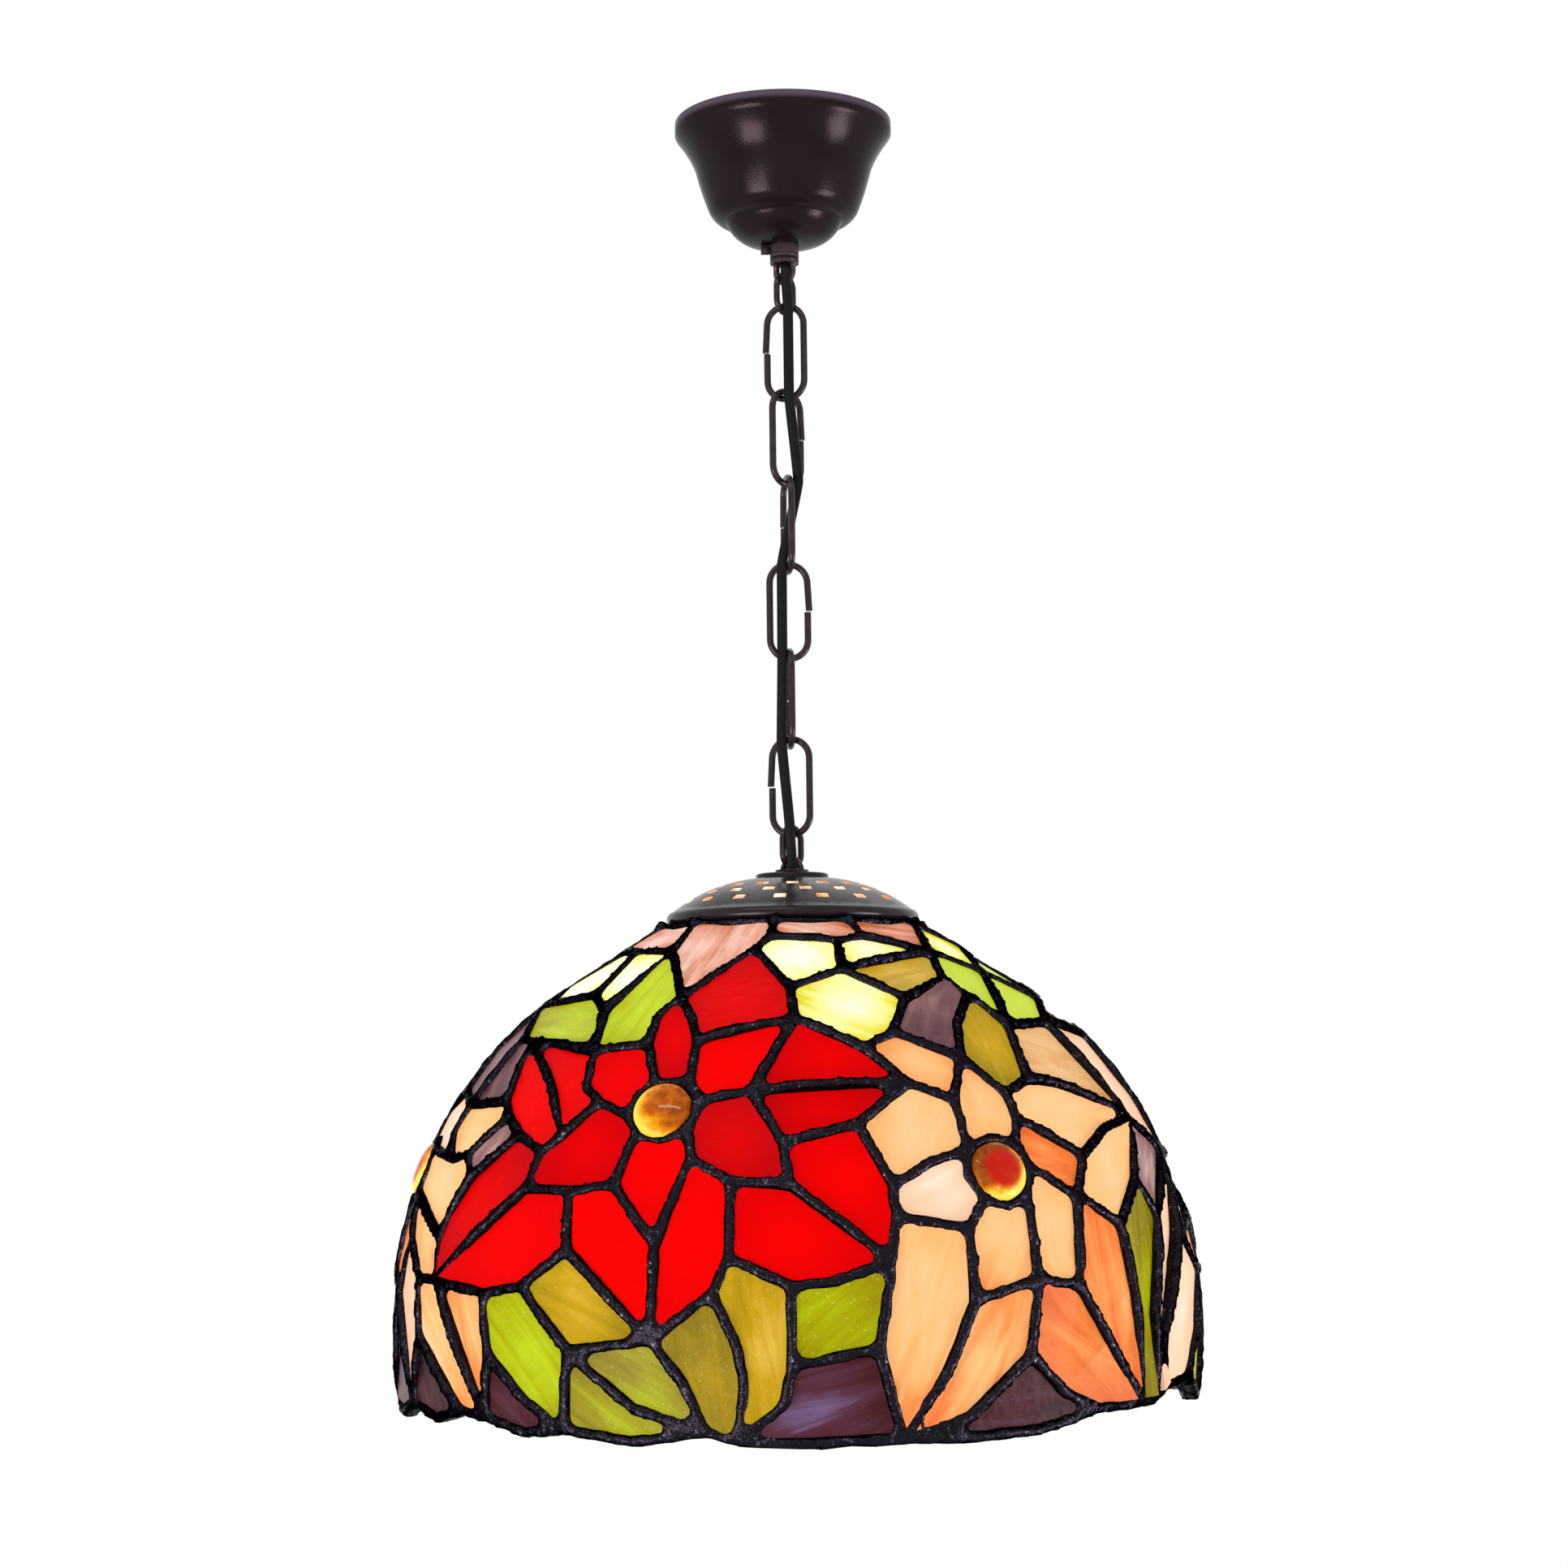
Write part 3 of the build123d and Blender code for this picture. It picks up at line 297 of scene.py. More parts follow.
# ---------------------------------------------------------------- canopy and neck
# The canopy is spun sheet with a dark bronze lacquer and a painted highlight along its rolled rim. The collar, the
# set screw and the cast hang loop under it are in a paler bronze, partly their own lacquer and partly painted light
# against the shadow under the canopy.
def bronze(name, low, high, roughness):
    """Lacquer between two shades, with a painted highlight that makes it paler over the top three millimetres, on
    the rim.
    """
    finish = Finish(name)
    cloud = finish.grain(0.02, 4)
    fine = finish.grain(0.0008, 2)
    height = finish.node("ShaderNodeSeparateXYZ", {}, finish.place(1.0), out="Z")
    # Painted highlight: the rolled rim, over the top three millimetres, is paler where light falls on it.
    rim = finish.rising(height, -0.0031667, -0.0015)
    lacquer = finish.blend(rim, finish.blend(cloud, low, high), shade(84, 70, 86))
    return finish.wear(Base_Color=lacquer, Metallic=0.5, Roughness=cloud * 0.1 + roughness,
                       Specular_IOR_Level=0.2, Specular_Tint=(0.4, 0.38, 0.4, 1),
                       Normal=finish.bump(fine, 0.00004))


bronze_sheet = bronze("bronze_sheet", shade(22, 14, 16), shade(40, 29, 34), 0.17)
# Paler than the canopy's bronze: partly their own lacquer, partly painted light against the shadow under the canopy.
bronze_cast = bronze("bronze_cast", shade(52, 40, 46), shade(88, 72, 82), 0.24)
dress("canopy_cup", bronze_sheet)
for node in ("canopy_collar", "set_screw", "hang_loop"):
    dress(node, bronze_cast)


# ---------------------------------------------------------------- inside the canopy
# The strap, nipple and nuts are zinc-plated steel, and the screws and the holder's contacts are brass. The terminal
# block is white plastic. The washer and nut that clamp the vent cap from below are zinc-plated too.
def metal(name, dark, light, roughness, metallic=1.0, size=0.004):
    """A plain metal, or with metallic at 0 a moulded or fired surface, with clouds of the given size."""
    finish = Finish(name)
    cloud = finish.grain(size, 4)
    return finish.wear(Base_Color=finish.blend(cloud, dark, light), Metallic=metallic,
                       Roughness=cloud * 0.15 + roughness, Normal=finish.bump(finish.grain(size / 8), 0.00003))


zinc = metal("zinc", shade(150, 152, 155), shade(190, 190, 186), 0.3)
brass = metal("brass", shade(176, 138, 62), shade(214, 176, 98), 0.25)
for node in ("bracket_bar", "canopy_nipple", "nipple_nuts", "seat_washer", "stem_nut"):
    dress(node, zinc)
for node in ("ground_screw", "terminal_screws", "holder_contacts"):
    dress(node, brass)
white_plastic = metal("white_plastic", shade(214, 212, 204), shade(232, 230, 222), 0.4, 0.0)
dress("terminal_block", white_plastic)

# ---------------------------------------------------------------- chain
# Links of drawn wire, bent round a mandrel and left open at one side, with the ends a little out of line.
# The two end rings are welded shut.
black_wire = Finish("black_wire")
rubbed = black_wire.grain(0.003, 4)
black_wire.wear(Base_Color=black_wire.blend(rubbed, shade(24, 17, 21), shade(62, 50, 58)), Metallic=0.5,
                Roughness=rubbed * 0.18 + 0.16, Specular_IOR_Level=0.25,
                Normal=black_wire.bump(black_wire.grain(0.0012), 0.00006))


class Build(Tree):
    """A Geometry Nodes tree with named inputs."""

    def __init__(self, name, inputs, takes_mesh=False):
        self.group = bpy.data.node_groups.new(name, "GeometryNodeTree")
        super().__init__(self.group)
        face = self.group.interface
        face.new_socket("Geometry", in_out="OUTPUT", socket_type="NodeSocketGeometry")
        if takes_mesh:
            face.new_socket("Geometry", in_out="INPUT", socket_type="NodeSocketGeometry")
        self.names = {}
        for key, default in inputs.items():
            kind = "NodeSocketMaterial" if default is None else "NodeSocketFloat"
            socket = face.new_socket(key, in_out="INPUT", socket_type=kind)
            self.names[key] = socket.identifier
            if default is not None:
                socket.default_value = default
        self.entry = self.group.nodes.new("NodeGroupInput")

    def given(self, key):
        return Socket(self, self.entry.outputs[key])

    def done(self, geometry, finish):
        real = self.node("GeometryNodeRealizeInstances", {}, geometry)
        painted = self.node("GeometryNodeSetMaterial", {}, real)
        self.tree.links.new(finish.link, painted.link.node.inputs["Material"])
        output = self.group.nodes.new("NodeGroupOutput")
        self.tree.links.new(painted.link, output.inputs[0])

    def make(self, name, mesh=None, **values):
        """Runs the tree on a mesh, or on nothing, and returns the mesh it makes."""
        holder = bpy.data.objects.new(name, mesh or bpy.data.meshes.new(name))
        scene.collection.objects.link(holder)
        work = holder.modifiers.new("build", "NODES")
        work.node_group = self.group
        for key, value in values.items():
            work[self.names[key.replace("_", " ")]] = value
        bpy.context.view_layer.update()
        result = bpy.data.meshes.new_from_object(holder.evaluated_get(bpy.context.evaluated_depsgraph_get()))
        bpy.data.objects.remove(holder)
        result.name = name
        return result


# Bend is the radius of the wire's line at the two ends, Gap the open joint, and Spread how far its end leans out.
links = Build("wire link", {"Top": 0.0, "Length": 0.0386, "Bend": 0.0072, "Wire": 0.0013, "Turn": 0.0,
                            "Gap": 0.0005, "Spread": 0.0005, "Finish": None})
top, length, bend, wire = (links.given(k) for k in ("Top", "Length", "Bend", "Wire"))
half = length * 0.5 - wire
straight = half - bend


def vector(tree, x, y, z):
    return tree.node("ShaderNodeCombineXYZ", {}, x, y, z)


gap = links.given("Gap") * 0.5
runs = []
ARC_POINTS, WIRE_SIDES = 20, 16
for x, low, high in ((bend, gap, straight), (bend, straight * -1, gap * -1),
                     (bend * -1, straight * -1, straight)):
    runs.append(links.node("GeometryNodeCurvePrimitiveLine", {}, vector(links, x, 0.0, low),
                           vector(links, x, 0.0, high)))
for sign in (1, -1):
    runs.append(links.node("GeometryNodeCurveArc", {"mode": "POINTS"}, ARC_POINTS,
                           vector(links, bend, 0.0, straight * sign),
                           vector(links, 0.0, 0.0, straight * sign + bend * sign),
                           vector(links, bend * -1, 0.0, straight * sign)))
joined = links.node("GeometryNodeJoinGeometry")
for run in runs:
    links.tree.links.new(run.link, joined.link.node.inputs[0])
path = links.node("GeometryNodeCurveToMesh", {}, joined)
path = links.node("GeometryNodeMergeByDistance", {}, path, Distance=0.00004)
path = links.node("GeometryNodeMeshToCurve", {}, path)
section = links.node("GeometryNodeCurvePrimitiveCircle", {}, Resolution=WIRE_SIDES, Radius=wire)
body = links.node("GeometryNodeCurveToMesh", {}, path, section, Fill_Caps=True)
across = links.node("ShaderNodeSeparateXYZ", {}, links.node("GeometryNodeInputPosition"))
height = Socket(links, across.link.node.outputs["Z"])
LEAN, PER_LEAN = 0.006, 166.0      # the lean fades out over this height above the joint, and one over it
near = ((LEAN - height).clamped() * PER_LEAN) * (height > 0.0) * (across > 0.0)
bent = links.node("GeometryNodeSetPosition", {}, body,
                  Offset=vector(links, near * links.given("Spread"), 0.0, 0.0))
round_wire = links.node("GeometryNodeSetShadeSmooth", {}, bent)
placed = links.node("GeometryNodeTransform", {}, round_wire,
                    Translation=vector(links, 0.0, 0.0, top - half),
                    Rotation=vector(links, 0.0, 0.0, links.given("Turn")))
links.done(placed, links.given("Finish"))

LINK_WIRE = dict(Bend=0.0072, Wire=0.0013, Gap=0.0006, Spread=0.0006)
RING_WIRE = dict(Bend=0.0048, Wire=0.0012, Gap=0.0, Spread=0.0)
# Each link's turn about Z is in degrees. Half a circle more puts its open joint on the other side.
for node, turn in (("chain_link_a", 165), ("chain_link_b", 43), ("chain_link_c", 102), ("chain_link_d", 8),
                   ("chain_link_e", 96), ("chain_link_f", 165), ("top_ring", 50), ("bottom_ring", 45)):
    low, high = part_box(node)
    sizes = RING_WIRE if node.endswith("ring") else LINK_WIRE
    mesh = links.make(node + "_wire", Top=high[2] - sizes["Wire"], Length=high[2] - low[2],
                      Turn=math.radians(turn), Finish=black_wire.material, **sizes)
    put(node + "_wire", mesh, body_of[node], None, [node])
dress("cap_loop", black_wire.material)

# ---------------------------------------------------------------- vent cap
# A spun cap and a disc washer in glossy black enamel. They hold the shade, and the slots let the heat out. The
# underside of the cap is pale and the cut edges of its slots are bare metal, and both glow with painted bulb light.
enamel = Finish("black_enamel")
ripple = enamel.grain(0.012, 2)
enamel.wear(Base_Color=enamel.blend(ripple, shade(22, 14, 19), shade(38, 27, 34)), Roughness=ripple * 0.1 + 0.16,
            Specular_IOR_Level=0.17, Normal=enamel.bump(ripple, 0.0002))
dress("disc_washer", enamel.material, 38)
cap_skin = dress("vent_cap", enamel.material, 38).data

# Painted light: the pale underside glows as if lit by the bulb, in tones that vary in clouds.
inside = Finish("pale_inside")
soot_and_glow = inside.grain(0.01, 3)
inside.wear(Base_Color=inside.blend(soot_and_glow, shade(214, 196, 160), shade(240, 228, 204)), Roughness=soot_and_glow * 0.1 + 0.4,
            Emission_Color=inside.blend(soot_and_glow, shade(236, 190, 120), shade(255, 226, 170)), Emission_Strength=0.6)
# Painted light: the bare cut edges of the slots glow in patches, as if lit by the bulb.
cut_edge = Finish("cut_edge")
patch = cut_edge.grain(0.006, 3)
bright = cut_edge.blend(cut_edge.rising(patch, 0.45, 0.65), shade(206, 104, 40), shade(255, 240, 222))
cut_edge.wear(Base_Color=cut_edge.blend(patch, shade(190, 110, 60), shade(240, 200, 150)),
              Roughness=patch * 0.2 + 0.3, Emission_Strength=0.9, Emission_Color=bright)
cap_skin.materials.append(inside.material)
cap_skin.materials.append(cut_edge.material)
SLOTS_FROM, SLOTS_TO, ROLLED_RIM = 0.024, 0.043, 0.042      # radii of the rows of slots and the rolled rim
for face in cap_skin.polygons:
    middle = face.center
    radius = math.hypot(middle.x, middle.y)
    outward_up = Vector((middle.x, middle.y, 0)).normalized() * 0.5 + Vector((0, 0, 1))
    if SLOTS_FROM < radius < SLOTS_TO and abs(face.normal.z) < 0.2:
        face.material_index = 2
    elif radius < ROLLED_RIM and face.normal.dot(outward_up) < -0.3:
        face.material_index = 1

# ---------------------------------------------------------------- lamp holder and bulb
# A holder of black phenolic round a porcelain core, with brass contacts. The bulb is frosted glass on a pressed
# metal screw cap, and it is lit.
phenolic = metal("phenolic", shade(22, 19, 18), shade(40, 34, 32), 0.22, 0.0, 0.01)
porcelain = metal("porcelain", shade(222, 219, 209), shade(240, 238, 230), 0.12, 0.0, 0.01)
bulb_metal = metal("bulb_metal", shade(168, 168, 166), shade(206, 206, 202), 0.24)
for node in ("holder_cap", "holder_shell", "skirt_ring"):
    dress(node, phenolic)
dress("holder_core", porcelain)
dress("bulb_cap", bulb_metal)
frost = Finish("frosted_bulb")
haze = frost.grain(0.03, 3)
frost.wear(Base_Color=frost.blend(haze, shade(240, 232, 214), shade(255, 250, 238)), Roughness=haze * 0.1 + 0.4,
           Emission_Color=frost.blend(haze, shade(255, 226, 170), shade(255, 240, 205)), Emission_Strength=4.0)
dress("bulb_glass", frost.material, 60)
glow = Finish("filament")
glow.wear(Base_Color=glow.blend(glow.grain(0.002), shade(250, 200, 110), shade(255, 226, 150)),
          Emission_Color=(1.0, 0.7, 0.3, 1), Emission_Strength=2.0)
dress("bulb_filament", glow.material)

# ---------------------------------------------------------------- lead
# The panes are joined by lead came soldered on both faces. The solder has run round and lumpy, thickest where
# cames meet, and has a dark glossy patina.
lead = Finish("lead")
blot = lead.grain(0.006, 5, 0.6)
pits = lead.grain(0.0015, 3)
# Pale specks that reflect more: partly worn patina, partly painted glints that stand in for the solder's sparkle.
worn_glint_specks = lead.rising(lead.grain(0.0018, 2), 0.62, 0.762857)
patina = lead.blend(blot, shade(18, 16, 19), shade(38, 34, 42))
lead.wear(Base_Color=lead.blend(worn_glint_specks, patina, shade(84, 80, 94)), Metallic=1.0,
          Specular_Tint=(0.12, 0.12, 0.14, 1), Roughness=blot * 0.2 + 0.08,
          Normal=lead.bump(blot * 0.6 + pits * 0.4, 0.0009))

# The shade is laid on a round mould. Swell pushes the solder out, and Tuck draws its sides in along the mould.
MOULD_CENTRE, MOULD_RADIUS = -0.451, 0.1464
solder = Build("run solder", {"Lumps": 0.0013, "Lump Size": 0.006, "Ripple": 0.0006, "Ripple Size": 0.0022,
                              "Swell": 0.0002, "Tuck": 0.0005, "Mould Centre": MOULD_CENTRE,
                              "Finish": None}, takes_mesh=True)
skin = Socket(solder, solder.entry.outputs["Geometry"])
where = solder.node("GeometryNodeInputPosition")
normal = solder.node("GeometryNodeInputNormal")
push = solder.given("Swell")
for depth, size in (("Lumps", "Lump Size"), ("Ripple", "Ripple Size")):
    scale = solder.node("ShaderNodeMath", {"operation": "DIVIDE"}, 1.0, solder.given(size))
    field = solder.node("ShaderNodeTexNoise", {}, Vector=where, Scale=scale, Detail=2.0)
    push = push + (field - 0.42) * solder.given(depth)


def between(operation, first, second, **more):
    return solder.node("ShaderNodeVectorMath", {"operation": operation}, first, second, **more)


centre = vector(solder, 0.0, 0.0, solder.given("Mould Centre"))
outward = between("NORMALIZE", between("SUBTRACT", where, centre), None)
facing = solder.node("ShaderNodeVectorMath", {"operation": "DOT_PRODUCT"}, normal, outward, out="Value")
sideways = between("SUBTRACT", normal, between("SCALE", outward, None, Scale=facing))
spread = between("SCALE", sideways, None, Scale=solder.given("Tuck") * -1)
lumps = between("SCALE", normal, None, Scale=push)
moved = solder.node("GeometryNodeSetPosition", {}, skin, Offset=between("ADD", lumps, spread))
solder.done(solder.node("GeometryNodeSetShadeSmooth", {}, moved), solder.given("Finish"))

VOXEL, KEPT_FACES = 0.0014, 0.7
blank = bpy.data.objects.new("lead_blank", merged_copy("lead_web"))
scene.collection.objects.link(blank)
melt = blank.modifiers.new("melt", "REMESH")
melt.mode, melt.voxel_size = "VOXEL", VOXEL
settle = blank.modifiers.new("settle", "SMOOTH")
settle.factor, settle.iterations = 0.5, 5
thin = blank.modifiers.new("thin", "DECIMATE")
thin.ratio = KEPT_FACES
bpy.context.view_layer.update()
soft = bpy.data.meshes.new_from_object(blank.evaluated_get(bpy.context.evaluated_depsgraph_get()))
bpy.data.objects.remove(blank)
put("lead_solder", solder.make("lead_solder", soft, Finish=lead.material), "shade", None, ["lead_web"])

# ---------------------------------------------------------------- glass
# Opalescent sheet, cut by hand and held in the groove of the lead. Each pane has its own run of streaks, so its
# corners carry the streaks' direction and start in an attribute. The panes near the bulb glow the most.
dice = random.Random(7)
BULB = Vector(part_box("bulb_glass")[0]).lerp(Vector(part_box("bulb_glass")[1]), 0.5)


def split_panes(mesh):
    """Vertex numbers of each loose pane of a mesh."""
    chief = list(range(len(mesh.vertices)))

    def head(v):
        while chief[v] != v:
            chief[v] = chief[chief[v]]
            v = chief[v]
        return v

    for edge in mesh.edges:
        a, b = (head(v) for v in edge.vertices)
        chief[max(a, b)] = min(a, b)
    panes = {}
    for v in range(len(mesh.vertices)):
        panes.setdefault(head(v), []).append(v)
    return [panes[key] for key in sorted(panes)]


def run_of_glass(mesh):
    """Stores the streak coordinates in mm, the place in the pane, 0 at its middle, and a random tone per pane."""
    spots = np.array([v.co for v in mesh.vertices])
    flow, inner = np.zeros((len(spots), 3)), np.zeros((len(spots), 3))
    tone = np.zeros(len(spots))
    for pane in split_panes(mesh):
        centre = spots[pane].mean(axis=0)
        across, along, out = np.linalg.svd(spots[pane] - centre)[2][:3]
        turn = dice.uniform(-0.3, 0.3)
        first = across * math.cos(turn) + along * math.sin(turn)
        second = along * math.cos(turn) - across * math.sin(turn)
        local = (spots[pane] - centre) @ np.array([first, second, out]).T * 1000
        flow[pane] = local + np.array([dice.uniform(0, 900), dice.uniform(0, 900), dice.uniform(0, 900)])
        inner[pane] = local / np.abs(local).max()
        tone[pane] = dice.random()
    for key, field in (("flow", flow), ("inner", inner)):
        stored = mesh.attributes.new(key, "FLOAT_VECTOR", "POINT")
        stored.data.foreach_set("vector", field.ravel().astype(np.float32))
    mesh.attributes.new("tone", "FLOAT", "POINT").data.foreach_set("value", tone.astype(np.float32))


# Heights between which the rim's streaks and the crown's paler glass set in, and the distances from the bulb
# between which its light does.
RIM_BAND, CROWN_BAND, BULB_LIGHT = (-0.408333, -0.491667), (-0.422222, -0.311111), (0.231707, 0.109756)
SEED = 0.16      # size of a bubble, as a share of the room that it has


def opalescent(name, streaks, stops, seeds=0.0, strength=0.7, gloss=0.06, glow=0.35, dim=0.5, pane_tone=0.45,
               low_streaks=0.0, cloudy=0.5, high_lift=0.0):
    """Glass whose colours, from its deepest to its palest, are mixed in streaks.

    glow is how much paler a pane is at its middle, and dim how much darker it is far from the bulb. pane_tone is
    the difference from pane to pane, low_streaks adds streaks at the rim, cloudy is for soft clouds, high_lift
    makes the upper panes paler, and seeds is for small bubbles.
    """
    finish = Finish(name)
    flow = finish.node("ShaderNodeAttribute", {"attribute_name": "flow"}, out="Vector")
    inner = finish.node("ShaderNodeAttribute", {"attribute_name": "inner"}, out="Vector")
    tone = finish.node("ShaderNodeAttribute", {"attribute_name": "tone"}, out="Fac")
    spot = finish.node("ShaderNodeTexCoord", {}, out="Object")
    long, wide = 46.0, 7.0      # size of a streak, in mm
    drawn = finish.node("ShaderNodeMapping", {"vector_type": "POINT"}, flow, Scale=(1 / long, 1 / wide, 1 / wide))
    streak = finish.node("ShaderNodeTexNoise", {}, Vector=drawn, Scale=1.0, Detail=5.0, Roughness=0.6,
                         Distortion=0.9)
    mottle = finish.node("ShaderNodeTexNoise", {}, Vector=flow, Scale=0.05, Detail=3.0)
    middle = finish.node("ShaderNodeVectorMath", {"operation": "LENGTH"}, inner, out="Value")
    height = finish.node("ShaderNodeSeparateXYZ", {}, spot, out="Z")
    low = finish.rising(height, *RIM_BAND) * low_streaks
    high = finish.rising(height, *CROWN_BAND) * high_lift
    mix = (streak - 0.5) * (low + streaks) + (mottle - 0.5) * cloudy + (tone - 0.5) * pane_tone
    mix = (mix + high + (0.55 - middle) * glow - low * 0.12 + 0.5).clamped()
    colour = finish.ramp(mix, stops)
    gap = finish.node("ShaderNodeVectorMath", {"operation": "DISTANCE"}, spot, tuple(BULB), out="Value")
    near = finish.rising(gap, *BULB_LIGHT)
    lit = finish.blend(near * dim + (1.0 - dim), (0.0, 0.0, 0.0), colour)
    ripple = finish.node("ShaderNodeTexNoise", {}, Vector=flow, Scale=0.22, Detail=2.0)
    relief = ripple
    if seeds:
        dot = finish.node("ShaderNodeTexVoronoi", {"feature": "F1"}, Vector=flow, Scale=seeds) < SEED
        lit = finish.blend(dot * 0.25, lit, shade(255, 238, 170))
        relief = ripple + dot * 0.4
    return finish.wear(Base_Color=finish.blend(0.6, colour, (0.0, 0.0, 0.0)), Roughness=mottle * 0.2 + 0.26,
                       Emission_Color=lit, Emission_Strength=strength, Specular_IOR_Level=gloss,
                       Normal=finish.bump(relief, 0.0003))


LET_IN, SUNK = 0.0011, 0.0004      # how far a pane reaches into the lead, and how far its outer edge sinks in it
SHARPEST = 1.3      # a corner moves out by no more than this many times as far as an edge


def let_in(mesh):
    """Grows each pane along the mould at its cut edges, so that they lie in the groove of the lead."""
    mould = Vector((0, 0, MOULD_CENTRE))
    edge_normals = [[] for _ in mesh.vertices]
    flats = {}
    for pane in split_panes(mesh):
        spots = np.array([mesh.vertices[v].co for v in pane])
        flat = Vector(np.linalg.svd(spots - spots.mean(axis=0))[2][2])
        flats.update((v, flat) for v in pane)
    for face in mesh.polygons:
        if abs(face.normal.dot(flats[face.vertices[0]])) < 0.3:      # a face of the cut edge
            for v in face.vertices:
                if all(face.normal.dot(known) < 0.999 for known in edge_normals[v]):
                    edge_normals[v].append(face.normal.copy())
    for vertex, normals in zip(mesh.vertices, edge_normals):
        if normals:
            way = sum(normals, Vector())
            if len(normals) == 2:
                way /= 1 + normals[0].dot(normals[1])      # a corner moves out until both its edges have
            else:
                way.normalize()
            from_centre = vertex.co - mould
            reach = from_centre.length - (SUNK if from_centre.length > MOULD_RADIUS else 0.0)
            from_centre += way * (LET_IN * min(1.0, SHARPEST / way.length))
            vertex.co = from_centre.normalized() * reach + mould


def glass_node(group, finish):
    node = "glass_" + group
    mesh = merged_copy(node)
    let_in(mesh)
    run_of_glass(mesh)
    put(node + "_panes", mesh, "shade", finish, [node])


glass_node("red", opalescent(
    "red_glass", 0.1, ((0.0, 170, 0, 12), (0.35, 216, 0, 4), (0.7, 246, 0, 0), (1.0, 255, 0, 0)),
    strength=0.66, gloss=0.02, pane_tone=0.6, cloudy=0.15, dim=0.6))
glass_node("peach", opalescent(
    "peach_glass", 0.4, ((0.0, 228, 104, 44), (0.3, 242, 144, 76), (0.6, 250, 184, 118), (1.0, 255, 208, 156)),
    strength=0.72, dim=0.3, low_streaks=1.2))
glass_node("orange", opalescent(
    "orange_glass", 1.2, ((0.0, 214, 84, 30), (0.35, 242, 124, 56), (0.7, 250, 164, 92), (1.0, 255, 208, 158))))
glass_node("white", opalescent(
    "pink_white_glass", 0.8,
    ((0.0, 226, 150, 116), (0.35, 246, 190, 152), (0.7, 252, 206, 172), (1.0, 255, 228, 204)), dim=0.35))
glass_node("crown_pink", opalescent(
    "crown_glass", 1.7, ((0.0, 150, 60, 30), (0.35, 204, 116, 74), (0.7, 230, 168, 144), (1.0, 244, 206, 190)),
    cloudy=0.9))
glass_node("yellow", opalescent(
    "yellow_glass", 0.9, ((0.0, 180, 190, 10), (0.25, 238, 228, 56), (0.45, 253, 251, 156), (0.85, 255, 255, 228)),
    glow=0.7, pane_tone=0.35))
glass_node("amber", opalescent(
    "amber_glass", 0.9, ((0.0, 104, 88, 0), (0.4, 158, 130, 4), (0.75, 196, 156, 20), (1.0, 226, 186, 70)),
    seeds=0.55))
glass_node("green", opalescent(
    "green_glass", 1.0, ((0.0, 104, 92, 0), (0.35, 150, 136, 0), (0.65, 170, 178, 4), (1.0, 192, 212, 34)),
    seeds=0.4, pane_tone=0.5, high_lift=0.5))
glass_node("mauve", opalescent(
    "mauve_glass", 1.2, ((0.0, 74, 40, 48), (0.4, 112, 74, 78), (0.75, 150, 108, 106), (1.0, 200, 168, 160))))
glass_node("maroon", opalescent(
    "maroon_glass", 1.2, ((0.0, 32, 10, 18), (0.4, 72, 28, 34), (0.75, 88, 48, 64), (1.0, 112, 88, 126))))
glass_node("tan", opalescent("tan_glass", 1.0, ((0.0, 160, 92, 30), (0.5, 210, 150, 84), (1.0, 240, 196, 140))))

# ---------------------------------------------------------------- cabochons
# Pressed domes of clear amber glass in the hearts of the flowers, two plain and four with a red heart. The light
# of the bulb gathers at their lower rim.
def dome_glass(name, stops, heart=0.0):
    """Clear coloured glass, from its shaded side to where the light gathers, with or without a red heart."""
    finish = Finish(name)
    rise = finish.node("ShaderNodeAttribute", {"attribute_name": "rise"}, out="Fac")
    lean = finish.node("ShaderNodeAttribute", {"attribute_name": "lean"}, out="Fac")
    cloudy = finish.grain(0.004, 4)
    gathered = (lean * lean * (1.0 - rise) * 2.2 + (cloudy - 0.5) * 1.1 + 0.16).clamped()
    colour = finish.ramp(gathered, stops)
    if heart:
        colour = finish.blend(finish.rising(rise, 0.62, 0.82) * heart, colour, shade(196, 8, 0))
    return finish.wear(Base_Color=finish.blend(0.85, colour, (0.0, 0.0, 0.0)), Emission_Color=colour,
                       Emission_Strength=0.9, Specular_IOR_Level=0.12, Roughness=cloudy * 0.06 + 0.04)


amber = dome_glass(
    "amber_dome", ((0.0, 146, 62, 0), (0.3, 196, 98, 0), (0.6, 250, 158, 0), (1.0, 255, 220, 80)))
red_hearted = dome_glass(
    "red_hearted_dome", ((0.0, 120, 52, 0), (0.3, 176, 84, 0), (0.6, 240, 150, 4), (1.0, 255, 226, 90)), 0.9)
SKIRT = 0.0030      # height of a dome's straight side
SPOKES, TIERS = 40, 10


